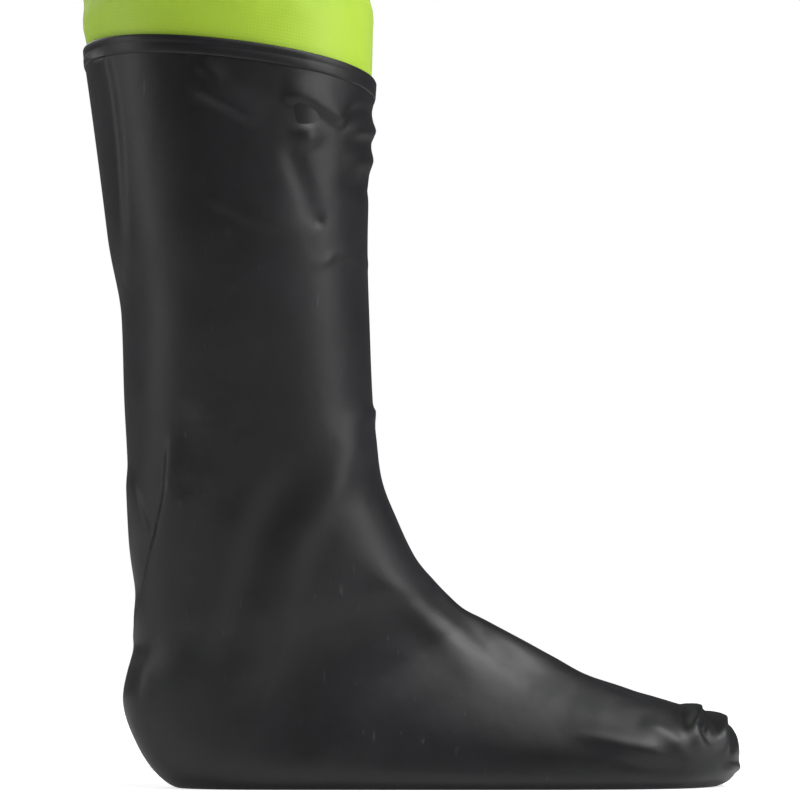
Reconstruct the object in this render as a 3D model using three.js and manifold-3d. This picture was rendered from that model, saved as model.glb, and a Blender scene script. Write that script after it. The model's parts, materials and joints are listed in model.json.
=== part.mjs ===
// Chest waders with latex socks, standing as they are worn.
// Millimetres, +Z up, +X the way the toes point, +Y the wearer's left. The right half is drawn and mirrored.
// The garment is a set of thin panels cut from smooth skins. Whatever is sewn to a panel is a layer on the
// same skin, and the moulded hardware stands in frames that are set on it.
import * as THREE from "three";
import { mergeVertices } from "three/addons/utils/BufferGeometryUtils.js";
import Module from "manifold-3d";

const wasm = await Module();
wasm.setup();

// ---------------------------------------------------------------- driving dimensions
// Sock
const FOOT_LENGTH = 282; // heel to toe, outside
const SOCK_HEIGHT = 336; // floor to the top edge at the back
const SOCK_HALF_WIDTH = 60; // half the top opening, side to side
const SOCK_WALL = 1.2;
const TAPE_WIDTH = 8; // edge tape round the top of the sock
const TAPE_WALL = 0.8;
const OVERLAP = 22; // how far the leg fabric runs down inside the sock
// Levels of the legs and trunk: height above the floor, and reach to the front, back and side of the middle
// of the leg or, from the hips up, of the trunk
const CALF = { z: 430, front: 72, back: 78, side: 69 };
const KNEE = { z: 520, front: 82, back: 76, side: 76 };
const THIGH = { z: 655, front: 92, back: 92, side: 90 };
const CROTCH = { z: 790, front: 106, back: 112, side: 99 };
const SEAT = { z: 860, front: 118, back: 134 };
const HIPS = { z: 930, front: 126, back: 141, side: 203 };
const WAIST = { z: 1010, front: 127, back: 126, side: 204 }; // seam between the leg panels and the bib
const CHEST = { z: 1330, front: 146, back: 136, side: 216 }; // top edge of the bib at the front
const BIB_SIDE_Z = 1235;
const BIB_BACK_Z = 1290;
const SHOULDER_Z = 1510; // top of the braces
// Centre plane to the middle of each leg
const ANKLE_SPREAD = 115;
const KNEE_SPREAD = 107;
const INSEAM_GAP = 0.5; // half the space between the thighs at the crotch
const KNEE_PATCH_HEIGHT = 190;
const FABRIC = 1.4; // panel wall
const SEAM_GAP = 0.5; // between panels that are joined edge to edge
const LAYER_GAP = 0.6; // between a panel and what is sewn on it
const PATCH = 1.2; // wall of a sewn-on layer
// Webbing and hardware
const WEBBING = 38;
const WEBBING_WALL = 1.4;
const FIT = 0.3; // running clearance round webbing and between moulded pieces
const BAR_RADIUS = 2.2; // bars that webbing folds round
const SIDE_WALL = 3.4; // moulded walls beside webbing
const BUCKLE_THICKNESS = 12;
const BUCKLE_DEPTH = 41; // length of the socket's body
const BRACE_OFFSET = 95; // centre plane to the middle of each brace buckle
const BRACE_LEAN = 20; // degrees that the buckles lean in towards the shoulder
const SLIDER_LENGTH = 22;
const SLIDER_RISE = 45; // slider above the clip's bar
const BELT_Z = 1052;
const BELT_LOOP_WIDTH = 20;
const POCKET_HALF_WIDTH = 90;
const POCKET_LOW_Z = 1098;
const POCKET_TOP_Z = 1268;
const ZIP_LENGTH = 150;
const ZIP_OFFSET = 56; // centre plane to the zip
const RING_OFFSET = 132; // centre plane to the D-ring
const RING_Z = 1178;
const RING_WIRE = 1.75; // radius of the ring's wire
const RING_WIDTH = 25; // webbing that holds the ring

// ---------------------------------------------------------------- colours
const LIME = 0xb4d84e;
const LIME_PATCH = 0xa6cc44;
const LATEX = 0x232325;
const LATEX_TAPE = 0x2c2c2f;
const WEBBING_BLACK = 0x1b1b1d;
const ACETAL = 0x17171a;
const STEEL = 0xb9bcc0;

const V = (x, y, z) => new THREE.Vector3(x, y, z);
const rad = THREE.MathUtils.degToRad;
const lerp = THREE.MathUtils.lerp;
const RIGHT = -1;
const LEFT = 1;
const COLUMNS = 12; // facets in half a leg, and in a quarter of the trunk

const waders = new THREE.Group();

function add(name, geometry, color, roughness = 0.6, metalness = 0) {
  const material = new THREE.MeshStandardMaterial({ color, roughness, metalness });
  const mesh = new THREE.Mesh(geometry, material);
  mesh.name = name;
  waders.add(mesh);
}

// ---------------------------------------------------------------- shape helpers

// A smooth function through [position, value] pairs, with no overshoot between them.
function through(pairs) {
  const slope = pairs.slice(1).map((p, i) => (p[1] - pairs[i][1]) / (p[0] - pairs[i][0]));
  const tangent = pairs.map((p, i) => {
    if (i === 0) return slope[0];
    if (i === pairs.length - 1) return slope[i - 1];
    const [a, b] = [slope[i - 1], slope[i]];
    return a * b <= 0 ? 0 : (2 * a * b) / (a + b);
  });
  return (at) => {
    const s = THREE.MathUtils.clamp(at, pairs[0][0], pairs[pairs.length - 1][0]);
    const next = Math.max(1, pairs.findIndex((p) => p[0] >= s));
    const [x0, y0] = pairs[next - 1];
    const [x1, y1] = pairs[next];
    const h = x1 - x0;
    const t = (s - x0) / h;
    const rise = (y1 - y0) * t * t * (3 - 2 * t);
    return y0 + rise + h * t * (1 - t) * (tangent[next - 1] * (1 - t) - tangent[next] * t);
  };
}

// A power of a sine or cosine that keeps its sign, as a superellipse needs.
const signedPower = (value, power) => Math.sign(value) * Math.abs(value) ** (2 / power);

function solid(points, triangles) {
  const volume = triangles.reduce((sum, [a, b, c]) => {
    const cross = new THREE.Vector3().crossVectors(points[b], points[c]);
    return sum + points[a].dot(cross);
  }, 0);
  const facing = volume < 0 ? triangles.map(([a, b, c]) => [a, c, b]) : triangles;
  return new THREE.BufferGeometry().setFromPoints(points).setIndex(facing.flat());
}

// Joins cross-sections with the same number of points into one closed body. A section runs forward along one
// face and back along the other, so that its ends close with a strip between the two.
function loft(rings, closed = false) {
  const n = rings[0].length;
  const triangles = [];
  const steps = closed ? rings.length : rings.length - 1;
  for (let i = 0; i < steps; i++) {
    const next = (i + 1) % rings.length;
    for (let k = 0; k < n; k++) {
      const side = (k + 1) % n;
      triangles.push([i * n + k, next * n + k, next * n + side]);
      triangles.push([i * n + k, next * n + side, i * n + side]);
    }
  }
  const last = (rings.length - 1) * n;
  for (let k = 0; !closed && k < n / 2 - 1; k++) {
    const [a, b, c, d] = [k, k + 1, n - 2 - k, n - 1 - k];
    triangles.push([a, b, c], [a, c, d]);
    triangles.push([last + a, last + c, last + b], [last + a, last + d, last + c]);
  }
  return solid(rings.flat(), triangles);
}

function manifoldOf(geometry) {
  const bare = geometry.clone();
  bare.deleteAttribute("normal");
  bare.deleteAttribute("uv");
  const merged = mergeVertices(bare, 1e-4);
  return new wasm.Manifold(
    new wasm.Mesh({
      numProp: 3,
      vertProperties: new Float32Array(merged.attributes.position.array),
      triVerts: new Uint32Array(merged.index.array),
    }),
  );
}

function geometryOf(manifold) {
  const mesh = manifold.getMesh();
  const geometry = new THREE.BufferGeometry();
  geometry.setAttribute("position", new THREE.BufferAttribute(mesh.vertProperties, 3));
  geometry.setIndex(new THREE.BufferAttribute(mesh.triVerts, 1));
  return geometry;
}

function combine(first, joined, cuts = []) {
  let made = manifoldOf(first);
  for (const g of joined) made = made.add(manifoldOf(g));
  for (const g of cuts) made = made.subtract(manifoldOf(g));
  return geometryOf(made);
}

// A box between two corners, in a frame's own width, length and thickness directions.
function block(w0, w1, t0, t1, n0, n1) {
  return new THREE.BoxGeometry(w1 - w0, t1 - t0, n1 - n0)
    .translate((w0 + w1) / 2, (t0 + t1) / 2, (n0 + n1) / 2);
}

// A round bar across a frame, along its width.
function bar(radius, halfLength, t, n, sides = 10) {
  return new THREE.CylinderGeometry(radius, radius, 2 * halfLength, sides)
    .rotateZ(Math.PI / 2)
    .translate(0, t, n);
}

// A flat outline with rounded corners, of one thickness.
function slab(outline, cornerRadius, n0, n1) {
  const shape = new THREE.Shape();
  const count = outline.length;
  outline.forEach(([w, t], i) => {
    const [before, after] = [outline[(i + count - 1) % count], outline[(i + 1) % count]];
    const corner = new THREE.Vector2(w, t);
    const entry = new THREE.Vector2(...before).sub(corner).setLength(cornerRadius).add(corner);
    const exit = new THREE.Vector2(...after).sub(corner).setLength(cornerRadius).add(corner);
    if (i === 0) shape.moveTo(entry.x, entry.y);
    else shape.lineTo(entry.x, entry.y);
    shape.quadraticCurveTo(corner.x, corner.y, exit.x, exit.y);
  });
  const options = { depth: n1 - n0, bevelEnabled: false, curveSegments: 3 };
  return new THREE.ExtrudeGeometry(shape, options).translate(0, 0, n0);
}

// Right-angled directions on the garment: w across, t along and n outwards.
class Frame {
  constructor(origin, t, n) {
    this.origin = origin.clone();
    this.n = n.clone().normalize();
    this.t = t.clone().addScaledVector(this.n, -t.dot(this.n)).normalize();
    this.w = new THREE.Vector3().crossVectors(this.t, this.n);
  }

  point(w, t, n) {
    return this.origin.clone()
      .addScaledVector(this.w, w).addScaledVector(this.t, t).addScaledVector(this.n, n);
  }

  // Turned about its width, so that its length leans back from n.
  leaned(angle) {
    const turn = (direction) => direction.clone().applyAxisAngle(this.w, -angle);
    return new Frame(this.origin, turn(this.t), turn(this.n));
  }

  // A frame at a point of this one, turned about its width until its length is plumb.
  hanging(t, n) {
    const up = V(0, 0, 1).addScaledVector(this.w, -this.w.z);
    return new Frame(this.point(0, t, n), up, this.w.clone().cross(up));
  }

  place(geometry) {
    const matrix = new THREE.Matrix4().makeBasis(this.w, this.t, this.n).setPosition(this.origin);
    return geometry.applyMatrix4(matrix);
  }
}

// A faceted surface over u and v. Layers on one skin share its facets, so they stay apart by their lifts.
class Skin {
  constructor(point, us, vs, closed = false) {
    Object.assign(this, { us, vs, closed });
    const step = 1e-3;
    const clampV = (v) => THREE.MathUtils.clamp(v, vs[0], vs[vs.length - 1]);
    const clampU = (u) => (closed ? u : THREE.MathUtils.clamp(u, us[0], us[us.length - 1]));
    const spanV = (vs[vs.length - 1] - vs[0]) * step;
    this.nodes = us.map((u) => vs.map((v) => {
      const alongU = point(clampU(u + step), v).sub(point(clampU(u - step), v));
      const alongV = point(u, clampV(v + spanV)).sub(point(u, clampV(v - spanV)));
      return { at: point(u, v), normal: alongU.cross(alongV).normalize() };
    }));
  }

  static cell(list, value) {
    let i = 0;
    while (i < list.length - 2 && value > list[i + 1]) i++;
    return [i, (value - list[i]) / (list[i + 1] - list[i])];
  }

  at(u, v, lift = 0) {
    const whole = this.closed ? u - Math.floor(u) : u;
    const [i, a] = Skin.cell(this.us, whole);
    const [j, b] = Skin.cell(this.vs, v);
    const mix = (key) => {
      const [low, high] = [this.nodes[i], this.nodes[i + 1]];
      const near = low[j][key].clone().lerp(high[j][key], a);
      return near.lerp(low[j + 1][key].clone().lerp(high[j + 1][key], a), b);
    };
    return mix("at").addScaledVector(mix("normal"), lift);
  }

  normal(u, v) {
    return this.at(u, v, 1).sub(this.at(u, v, 0)).normalize();
  }

  // u0, the skin's own columns between, and u1.
  columns(u0, u1) {
    const turns = this.closed ? [-1, 0, 1] : [0];
    const inner = turns.flatMap((k) => this.us.map((u) => u + k));
    const margin = 1e-4;
    const between = [...new Set(inner)].filter((u) => u > u0 + margin && u < u1 - margin);
    return [u0, ...between.sort((a, b) => a - b), u1];
  }

  rows(v0, v1) {
    return [v0, ...this.vs.filter((v) => v > v0 + 1e-4 && v < v1 - 1e-4), v1];
  }

  frame(u, v, lift) {
    const up = this.at(u, v + 0.01).sub(this.at(u, v - 0.01));
    return new Frame(this.at(u, v, lift), up, this.normal(u, v));
  }
}

// Sweeps a section, a closed outline of [v, lift] points, over a skin from one column to the next.
function sweep(skin, us, section, closed = false) {
  return loft(us.map((u) => section(u).map(([v, lift]) => skin.at(u, v, lift))), closed);
}

// A sheet of one thickness that covers part of a skin. low and high are its edges in v, at each u, and cuts
// are its rows as shares of the way between them.
function layer(skin, u0, u1, low, high, lift0, lift1, cuts = null) {
  const share = cuts ?? skin.rows(low(u0), high(u0)).map((v) => (v - low(u0)) / (high(u0) - low(u0)));
  const section = (u) => {
    const vs = share.map((s) => lerp(low(u), high(u), s));
    return [...vs.map((v) => [v, lift1]), ...vs.reverse().map((v) => [v, lift0])];
  };
  return sweep(skin, skin.columns(u0, u1), section);
}

// Webbing along a path. Each point is [place, direction that faces away from the bend].
function ribbon(path, width) {
  const rings = path.map(([at, facing], i) => {
    const before = path[Math.max(0, i - 1)][0];
    const after = path[Math.min(path.length - 1, i + 1)][0];
    const along = after.clone().sub(before).normalize();
    const across = along.clone().cross(facing).normalize();
    const out = across.clone().cross(along);
    return [[1, 1], [-1, 1], [-1, -1], [1, -1]].map(([a, b]) => at.clone()
      .addScaledVector(across, (a * width) / 2).addScaledVector(out, (b * WEBBING_WALL) / 2));
  });
  return loft(rings);
}

// Points on a fold of webbing round a bar, in a frame: angle 0 is along t, 90 degrees is along n.
function fold(frame, t, n, radius, from, to, steps = 6) {
  return Array.from({ length: steps + 1 }, (_, k) => {
    const angle = rad(lerp(from, to, k / steps));
    const facing = frame.t.clone().multiplyScalar(Math.cos(angle))
      .addScaledVector(frame.n, Math.sin(angle));
    return [frame.point(0, t + radius * Math.cos(angle), n + radius * Math.sin(angle)), facing];
  });
}

// ---------------------------------------------------------------- sock

// The last is drawn at 282 by 336 mm. Each station joins a point down the back and under the sole to a point
// down the shin and over the toes: [rear x, rear z, front x, front z, half width, shift to the big toe,
// height of the widest place as a share, squareness of the rear, squareness of the front].
const LAST_LENGTH = 282;
const LAST_HEIGHT = 336;
const LAST = [
  [-67, 336, 67.5, 322, 60, 0, 0.5, 2.1, 2.1],
  [-61, 295, 65, 284, 59.5, 0, 0.5, 2.1, 2.1],
  [-54.5, 251, 64, 245, 58, 0, 0.5, 2.1, 2.1],
  [-48.5, 212, 65, 209, 55, 0, 0.5, 2.1, 2.1],
  [-47, 176, 66.5, 174, 51, 0, 0.5, 2.1, 2.1],
  [-45, 141, 70, 142, 47.5, 0, 0.5, 2.1, 2.1],
  [-44.5, 111, 78, 120, 45, 0, 0.5, 2.1, 2.05],
  [-42, 83, 87, 102, 43, 0, 0.48, 2.1, 2],
  [-41.5, 65, 94, 94, 41.5, 0, 0.45, 2.1, 2],
  [-46, 40, 101, 87, 39, 0, 0.42, 2.2, 1.95],
  [-39, 18, 108, 81, 38, 0, 0.38, 2.4, 1.95],
  [-21, 0, 117, 76, 38.5, 0, 0.34, 2.8, 1.9],
  [8, -3, 126, 71, 40, 0, 0.3, 3.2, 1.9],
  [42, -3, 137, 65, 42, 1, 0.27, 3.4, 1.9],
  [77, -3, 149, 58, 44.5, 2, 0.25, 3.4, 1.9],
  [109, -3, 163, 52, 47, 3, 0.25, 3.4, 1.9],
  [141, -3, 178, 46.5, 49.5, 4.5, 0.26, 3.4, 1.95],
  [171, -3, 193, 41.5, 50.5, 6, 0.3, 3.2, 2],
  [196, -3, 208, 37, 48, 8, 0.35, 3, 2.1],
  [217, -1.5, 222, 33, 40, 10, 0.42, 2.6, 2.1],
  [229.5, 2, 232, 26.5, 27, 12, 0.5, 2.2, 2],
  [235.9, 12.9, 236, 13.1, 0.1, 13, 0.5, 2, 2],
];
const lastTracks = LAST[0].map((_, k) => through(LAST.map((row, i) => [i, row[k]])));
const HEEL_TO_AXIS = 46; // heel to the middle of the leg

// A point of the sock's outside. u goes once round from the back by the outer side, v from the top edge to
// the toe.
function sockPoint(side, u, v) {
  const [rx, rz, fx, fz, half, shift, widest, rearPower, frontPower] = lastTracks.map((f) => f(v));
  const angle = 2 * Math.PI * u;
  const along = Math.cos(angle);
  const power = along > 0 ? rearPower : frontPower;
  const reach = along > 0 ? widest : 1 - widest;
  const share = widest - reach * signedPower(along, power);
  const across = half * (SOCK_HALF_WIDTH / LAST[0][4]) * signedPower(Math.sin(angle), power);
  const length = FOOT_LENGTH / LAST_LENGTH;
  const x = (lerp(rx, fx, share) + HEEL_TO_AXIS) * length - HEEL_TO_AXIS;
  const z = Math.max(0, lerp(rz, fz, share) * (SOCK_HEIGHT / LAST_HEIGHT));
  return V(x, side * (ANKLE_SPREAD + across - shift), z);
}

function sockSkin(side) {
  const around = 2 * COLUMNS;
  const us = Array.from({ length: around + 1 }, (_, k) => k / around);
  const turn = side === RIGHT ? -1 : 1;
  return new Skin((u, v) => sockPoint(side, turn * u, v), us, LAST.map((_, i) => i), true);
}

// A closed bag: outside, rim and inside. The sole lies flat, and its inside is one wall above it.
function sockSolid(skin) {
  const rows = skin.vs.slice(0, -1);
  const cols = skin.us.slice(0, -1);
  const outer = rows.map((v) => cols.map((u) => skin.at(u, v)));
  const inner = rows.map((v) => cols.map((u) => {
    const p = skin.at(u, v, -SOCK_WALL);
    return p.setZ(Math.max(p.z, SOCK_WALL));
  }));
  const rings = [...outer.reverse(), ...inner];
  const n = cols.length;
  const points = rings.flat();
  const toe = skin.at(0, skin.vs[skin.vs.length - 1]);
  points.push(toe, toe.clone().add(V(-SOCK_WALL, 0, 0)));
  const triangles = [];
  for (let k = 0; k < n; k++) {
    const next = (k + 1) % n;
    for (let i = 0; i < rings.length - 1; i++) {
      triangles.push([i * n + k, (i + 1) * n + k, (i + 1) * n + next]);
      triangles.push([i * n + k, (i + 1) * n + next, i * n + next]);
    }
    triangles.push([points.length - 2, k, next]);
    const last = (rings.length - 1) * n;
    triangles.push([points.length - 1, last + next, last + k]);
  }
  return solid(points, triangles);
}

function buildSock(name, side) {
  const skin = sockSkin(side);
  add(`${name}_sock`, sockSolid(skin), LATEX, 0.45);
  const firstRow = skin.at(0, 0).distanceTo(skin.at(0, 1));
  const depth = TAPE_WIDTH / firstRow;
  const low = LAYER_GAP;
  const section = () => [[0, low], [0, low + TAPE_WALL], [depth, low + TAPE_WALL], [depth, low]];
  add(`${name}_sock_edge_tape`, sweep(skin, skin.us.slice(0, -1), section, true), LATEX_TAPE, 0.5);
}

// ---------------------------------------------------------------- legs and trunk

const [cuffBack, cuffTop] = [sockPoint(RIGHT, 0, 0).x, sockPoint(RIGHT, 0, 0).z];
const cuffFront = sockPoint(RIGHT, 0.5, 0).x;
const cuffDrop = cuffTop - sockPoint(RIGHT, 0.5, 0).z; // the top edge is lower at the shin
const cuffMiddle = cuffTop - cuffDrop / 2;
const cuffInset = SOCK_WALL + LAYER_GAP; // the leg fabric is inside the sock
const cuffHalfDepth = (cuffFront - cuffBack) / 2 - cuffInset;
const cuffHalfWidth = SOCK_HALF_WIDTH - cuffInset;
const cuffCentre = (cuffFront + cuffBack) / 2;
const legBottom = cuffMiddle - OVERLAP;
// The sock narrows a little over the overlap, most at the back, and the leg fabric inside it narrows too.
const frontTaper = OVERLAP * 0.08;
const backTaper = OVERLAP * 0.16;
const sideTaper = OVERLAP * 0.03;

const LEVELS = [CALF, KNEE, THIGH, CROTCH, SEAT, HIPS, WAIST, CHEST];
const levels = (key) => LEVELS.filter((level) => key in level).map((level) => [level.z, level[key]]);
const centreX = through([[cuffMiddle, cuffCentre], [CALF.z, -3], [KNEE.z, 4], [CROTCH.z, 0], [HIPS.z, 0]]);
const frontDepth = through([
  [legBottom, cuffHalfDepth - frontTaper], [cuffMiddle, cuffHalfDepth], ...levels("front"),
]);
const backDepth = through([
  [legBottom, cuffHalfDepth - backTaper], [cuffMiddle, cuffHalfDepth], ...levels("back"),
]);
const legSpread = through([
  [cuffMiddle, ANKLE_SPREAD], [KNEE.z, KNEE_SPREAD], [CROTCH.z, CROTCH.side + INSEAM_GAP], [SEAT.z, 52],
  [HIPS.z, 0],
]);
const sideLine = through([
  [legBottom, ANKLE_SPREAD + cuffHalfWidth - sideTaper], [cuffMiddle, ANKLE_SPREAD + cuffHalfWidth],
  ...levels("side").map(([z, reach]) => [z, legSpread(z) + reach]),
]);
const halfWidth = (z) => sideLine(z) - legSpread(z);
const squareness = through([[CROTCH.z, 2.1], [HIPS.z, 2.3], [CHEST.z, 2.45]]);
const cuffTilt = through([[cuffMiddle, cuffDrop / (cuffFront - cuffBack)], [KNEE.z, 0]]);

// A point of the garment's outside. q is 0 at the side seam, 1 at the inseam or the centre front, -1 the same
// at the back. Below the crotch a half is a whole leg, and above it the half ends on the centre plane.
function garmentPoint(side, q, z) {
  const power = squareness(z);
  const [half, spread] = [halfWidth(z), legSpread(z)];
  const end = spread >= half ? Math.PI : Math.acos(-((spread / half) ** (power / 2)));
  const angle = Math.abs(q) * end;
  const depth = q >= 0 ? frontDepth(z) : backDepth(z);
  const reach = Math.sign(q) * depth * signedPower(Math.sin(angle), power);
  const across = spread + half * signedPower(Math.cos(angle), power);
  return V(centreX(z) + reach, side * Math.max(across, 0), z - reach * cuffTilt(z));
}

function spaced(from, to, count) {
  return Array.from({ length: count + 1 }, (_, k) => lerp(from, to, k / count));
}

// Heights of the leg panels' rows: each level, and one between it and the next.
const legLevels = [cuffMiddle, CALF.z, KNEE.z, THIGH.z, CROTCH.z, SEAT.z, HIPS.z];
const between = (z, i) => (i + 1 < legLevels.length ? [z, (z + legLevels[i + 1]) / 2] : [z]);
const LEG_ROWS = [legBottom, ...legLevels.flatMap(between), WAIST.z];

// One leg panel, from inside the sock to the waist seam. face is 1 for the front and -1 for the back.
function legSkin(side, face) {
  const forward = side * face;
  const point = (u, z) => garmentPoint(side, face * (forward < 0 ? u : 1 - u), z);
  return new Skin(point, spaced(0, 1, COLUMNS), LEG_ROWS);
}

function buildLeg(name, side) {
  for (const [face, label] of [[1, "front"], [-1, "back"]]) {
    const skin = legSkin(side, face);
    const edge = SEAM_GAP / 2 / 300;
    const panel = layer(skin, edge, 1 - edge, () => legBottom, () => WAIST.z - SEAM_GAP / 2, -FABRIC, 0);
    add(`${name}_leg_${label}_panel`, panel, LIME, 0.5);
  }
  const skin = legSkin(side, 1);
  const low = () => KNEE.z - KNEE_PATCH_HEIGHT * 0.45;
  const high = () => low() + KNEE_PATCH_HEIGHT;
  const patch = layer(skin, 0.17, 0.83, low, high, LAYER_GAP, LAYER_GAP + PATCH);
  add(`${name}_knee_patch`, patch, LIME_PATCH, 0.55);
}

// The trunk above the waist as one closed skin: u is 0 at the right side, 0.25 at the front, 0.5 at the left
// side and 0.75 at the back. v is the share of the way from the waist seam to the top edge.
function trunkHalf(u) {
  const turn = 4 * (u - Math.floor(u));
  if (turn <= 1) return [RIGHT, turn];
  if (turn <= 2) return [LEFT, 2 - turn];
  if (turn <= 3) return [LEFT, 2 - turn];
  return [RIGHT, turn - 4];
}

function topEdge(u) {
  const [, q] = trunkHalf(u);
  const middle = q >= 0 ? CHEST.z : BIB_BACK_Z;
  return lerp(BIB_SIDE_Z, middle, THREE.MathUtils.smoothstep(Math.abs(q), 0.12, 0.62));
}

const trunk = new Skin(
  (u, v) => {
    const [side, q] = trunkHalf(u);
    return garmentPoint(side, q, lerp(WAIST.z, topEdge(u), v));
  },
  spaced(0, 1, 4 * COLUMNS),
  [0, 0.2, 0.4, 0.6, 0.8, 1],
  true,
);
const heightShare = (u, z) => (z - WAIST.z) / (topEdge(u) - WAIST.z);

// The place on the front of the trunk that is y from the centre plane.
function frontAt(y, z) {
  let [low, high] = [0.02, 0.48];
  for (let i = 0; i < 30; i++) {
    const u = (low + high) / 2;
    if (trunk.at(u, heightShare(u, z)).y < y) low = u;
    else high = u;
  }
  return low;
}

function buildBib() {
  const edge = SEAM_GAP / 2 / 1100;
  const low = () => SEAM_GAP / 2 / 320;
  const panel = (from) => layer(trunk, from + edge, from + 0.5 - edge, low, () => 1, -FABRIC, 0);
  add("front_bib_panel", panel(0), LIME, 0.5);
  add("back_bib_panel", panel(0.5), LIME, 0.5);
}

// Binding folded over the top edge of the bib, all the way round.
const BINDING_WIDTH = 16;
function buildBinding() {
  const section = (u) => {
    const share = (mm) => mm / (topEdge(u) - WAIST.z);
    const low = 1 - share(BINDING_WIDTH);
    const [gap, top] = [1 + share(LAYER_GAP), 1 + share(LAYER_GAP + PATCH)];
    const [inner, outer] = [-FABRIC - LAYER_GAP, LAYER_GAP];
    return [
      [low, outer], [low, outer + PATCH], [top, outer + PATCH], [top, inner - PATCH],
      [low, inner - PATCH], [low, inner], [gap, inner], [gap, outer],
    ];
  };
  add("top_edge_binding", sweep(trunk, trunk.us.slice(0, -1), section, true), WEBBING_BLACK, 0.8);
}

// ---------------------------------------------------------------- side-release buckles

const innerHalf = WEBBING / 2 + 2 * FIT;
const outerHalf = innerHalf + SIDE_WALL;
const foldRadius = BAR_RADIUS + FIT + WEBBING_WALL / 2; // middle of webbing folded round a bar
const slotEnd = BAR_RADIUS + 2 * FIT + WEBBING_WALL + 1.2; // far side of the slot beside a bar
const socketMouth = slotEnd + BUCKLE_DEPTH;
const clipBase = socketMouth + 2 * FIT;
const BASE_DEPTH = 4;
const clipBar = clipBase + BASE_DEPTH + slotEnd;
const ARM_REACH = 33; // how far the clip's arms go into the socket
const CAVITY_WALL = 2.6;
const cavityHalf = BUCKLE_THICKNESS / 2 - CAVITY_WALL;
const cavityHalfWidth = outerHalf - 5.5;

// The socket's bar is on the frame's origin, and its mouth faces along t.
function socketGeometry() {
  const half = BUCKLE_THICKNESS / 2;
  const waist = outerHalf - 1.5;
  const middle = slotEnd + BUCKLE_DEPTH / 2;
  const outline = [
    [-outerHalf, slotEnd], [outerHalf, slotEnd], [waist, middle],
    [outerHalf, socketMouth], [-outerHalf, socketMouth], [-waist, middle],
  ];
  const ears = [-1, 1].map((s) => {
    const [a, b] = s < 0 ? [-outerHalf, -innerHalf] : [innerHalf, outerHalf];
    return block(a, b, -BAR_RADIUS - 1, slotEnd + 2, -half + 2, half - 2);
  });
  const cut = (halfW, t0, t1) => block(-halfW, halfW, t0, t1, -cavityHalf, cavityHalf);
  const cavity = cut(cavityHalfWidth, slotEnd + 4, socketMouth + 1);
  const window = cut(outerHalf + 1, slotEnd + 9, slotEnd + 25);
  const joined = [...ears, bar(BAR_RADIUS, outerHalf - 1, 0, 0)];
  return combine(slab(outline, 2, -half, half), joined, [cavity, window]);
}

// The clip pushed home in the socket.
function clipGeometry() {
  const armHalf = cavityHalf - FIT - 0.2;
  const armOuter = cavityHalfWidth - FIT - 0.2;
  const armTip = clipBase - ARM_REACH;
  const base = slab(
    [
      [-outerHalf, clipBase], [outerHalf, clipBase], [outerHalf, clipBase + BASE_DEPTH],
      [-outerHalf, clipBase + BASE_DEPTH],
    ],
    1.5, -BUCKLE_THICKNESS / 2 + 0.5, BUCKLE_THICKNESS / 2 - 0.5,
  );
  const ears = [];
  const arms = [];
  for (const s of [-1, 1]) {
    const span = (a, b) => (s < 0 ? [-b, -a] : [a, b]);
    ears.push(block(...span(innerHalf, outerHalf), clipBase + 1, clipBar + BAR_RADIUS + 1, -4, 4));
    arms.push(block(...span(armOuter - 5, armOuter), armTip + 4, clipBase + 1, -armHalf, armHalf));
    const head = [
      [s * armOuter, armTip + 14], [s * (armOuter - 7), armTip + 14],
      [s * (armOuter - 6), armTip], [s * (armOuter - 3), armTip],
    ];
    arms.push(slab(head, 1, -armHalf, armHalf));
  }
  const guide = block(-2.5, 2.5, armTip + 8, clipBase + 1, -armHalf, armHalf);
  return combine(base, [...ears, ...arms, guide, bar(BAR_RADIUS, outerHalf - 1, clipBar, 0)]);
}

// ---------------------------------------------------------------- braces

const braceU = frontAt(-BRACE_OFFSET, CHEST.z - 20);
const socketLift = foldRadius + 1.4;
const SOCKET_RISE = 8; // socket's bar above the top edge
const sliderBar = clipBar + SLIDER_RISE;
const SLIDER_BAR = 1.3;
const sliderFold = SLIDER_BAR + FIT + WEBBING_WALL / 2;
const sliderBarN = sliderFold - foldRadius;
const YOKE_LEAN = 12; // degrees
const YOKE_Z = BIB_BACK_Z + 85;
const YOKE_WALL = 2.4;
const yoke = new Frame(
  V(-CHEST.back - 5, 0, YOKE_Z),
  V(Math.sin(rad(YOKE_LEAN)), 0, Math.cos(rad(YOKE_LEAN))),
  V(-Math.cos(rad(YOKE_LEAN)), 0, Math.sin(rad(YOKE_LEAN))),
);
const onYoke = YOKE_WALL / 2 + FIT + WEBBING_WALL / 2;

// The right brace's frame stands on the bib's top edge. The left one is its mirror image.
function braceFrame() {
  const edge = trunk.frame(braceU, 1, socketLift);
  const raised = new Frame(edge.point(0, SOCKET_RISE, 0), edge.t, edge.n);
  return raised.leaned(rad(BRACE_LEAN));
}

const mirrored = (geometry) => {
  const flipped = geometry.clone().scale(1, -1, 1);
  if (!flipped.index) return flipped;
  const index = flipped.index.array;
  for (let i = 0; i < index.length; i += 3) [index[i + 1], index[i + 2]] = [index[i + 2], index[i + 1]];
  return flipped;
};

function addPair(name, geometry, color, roughness) {
  add(`right_${name}`, geometry, color, roughness);
  add(`left_${name}`, mirrored(geometry), color, roughness);
}

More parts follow.
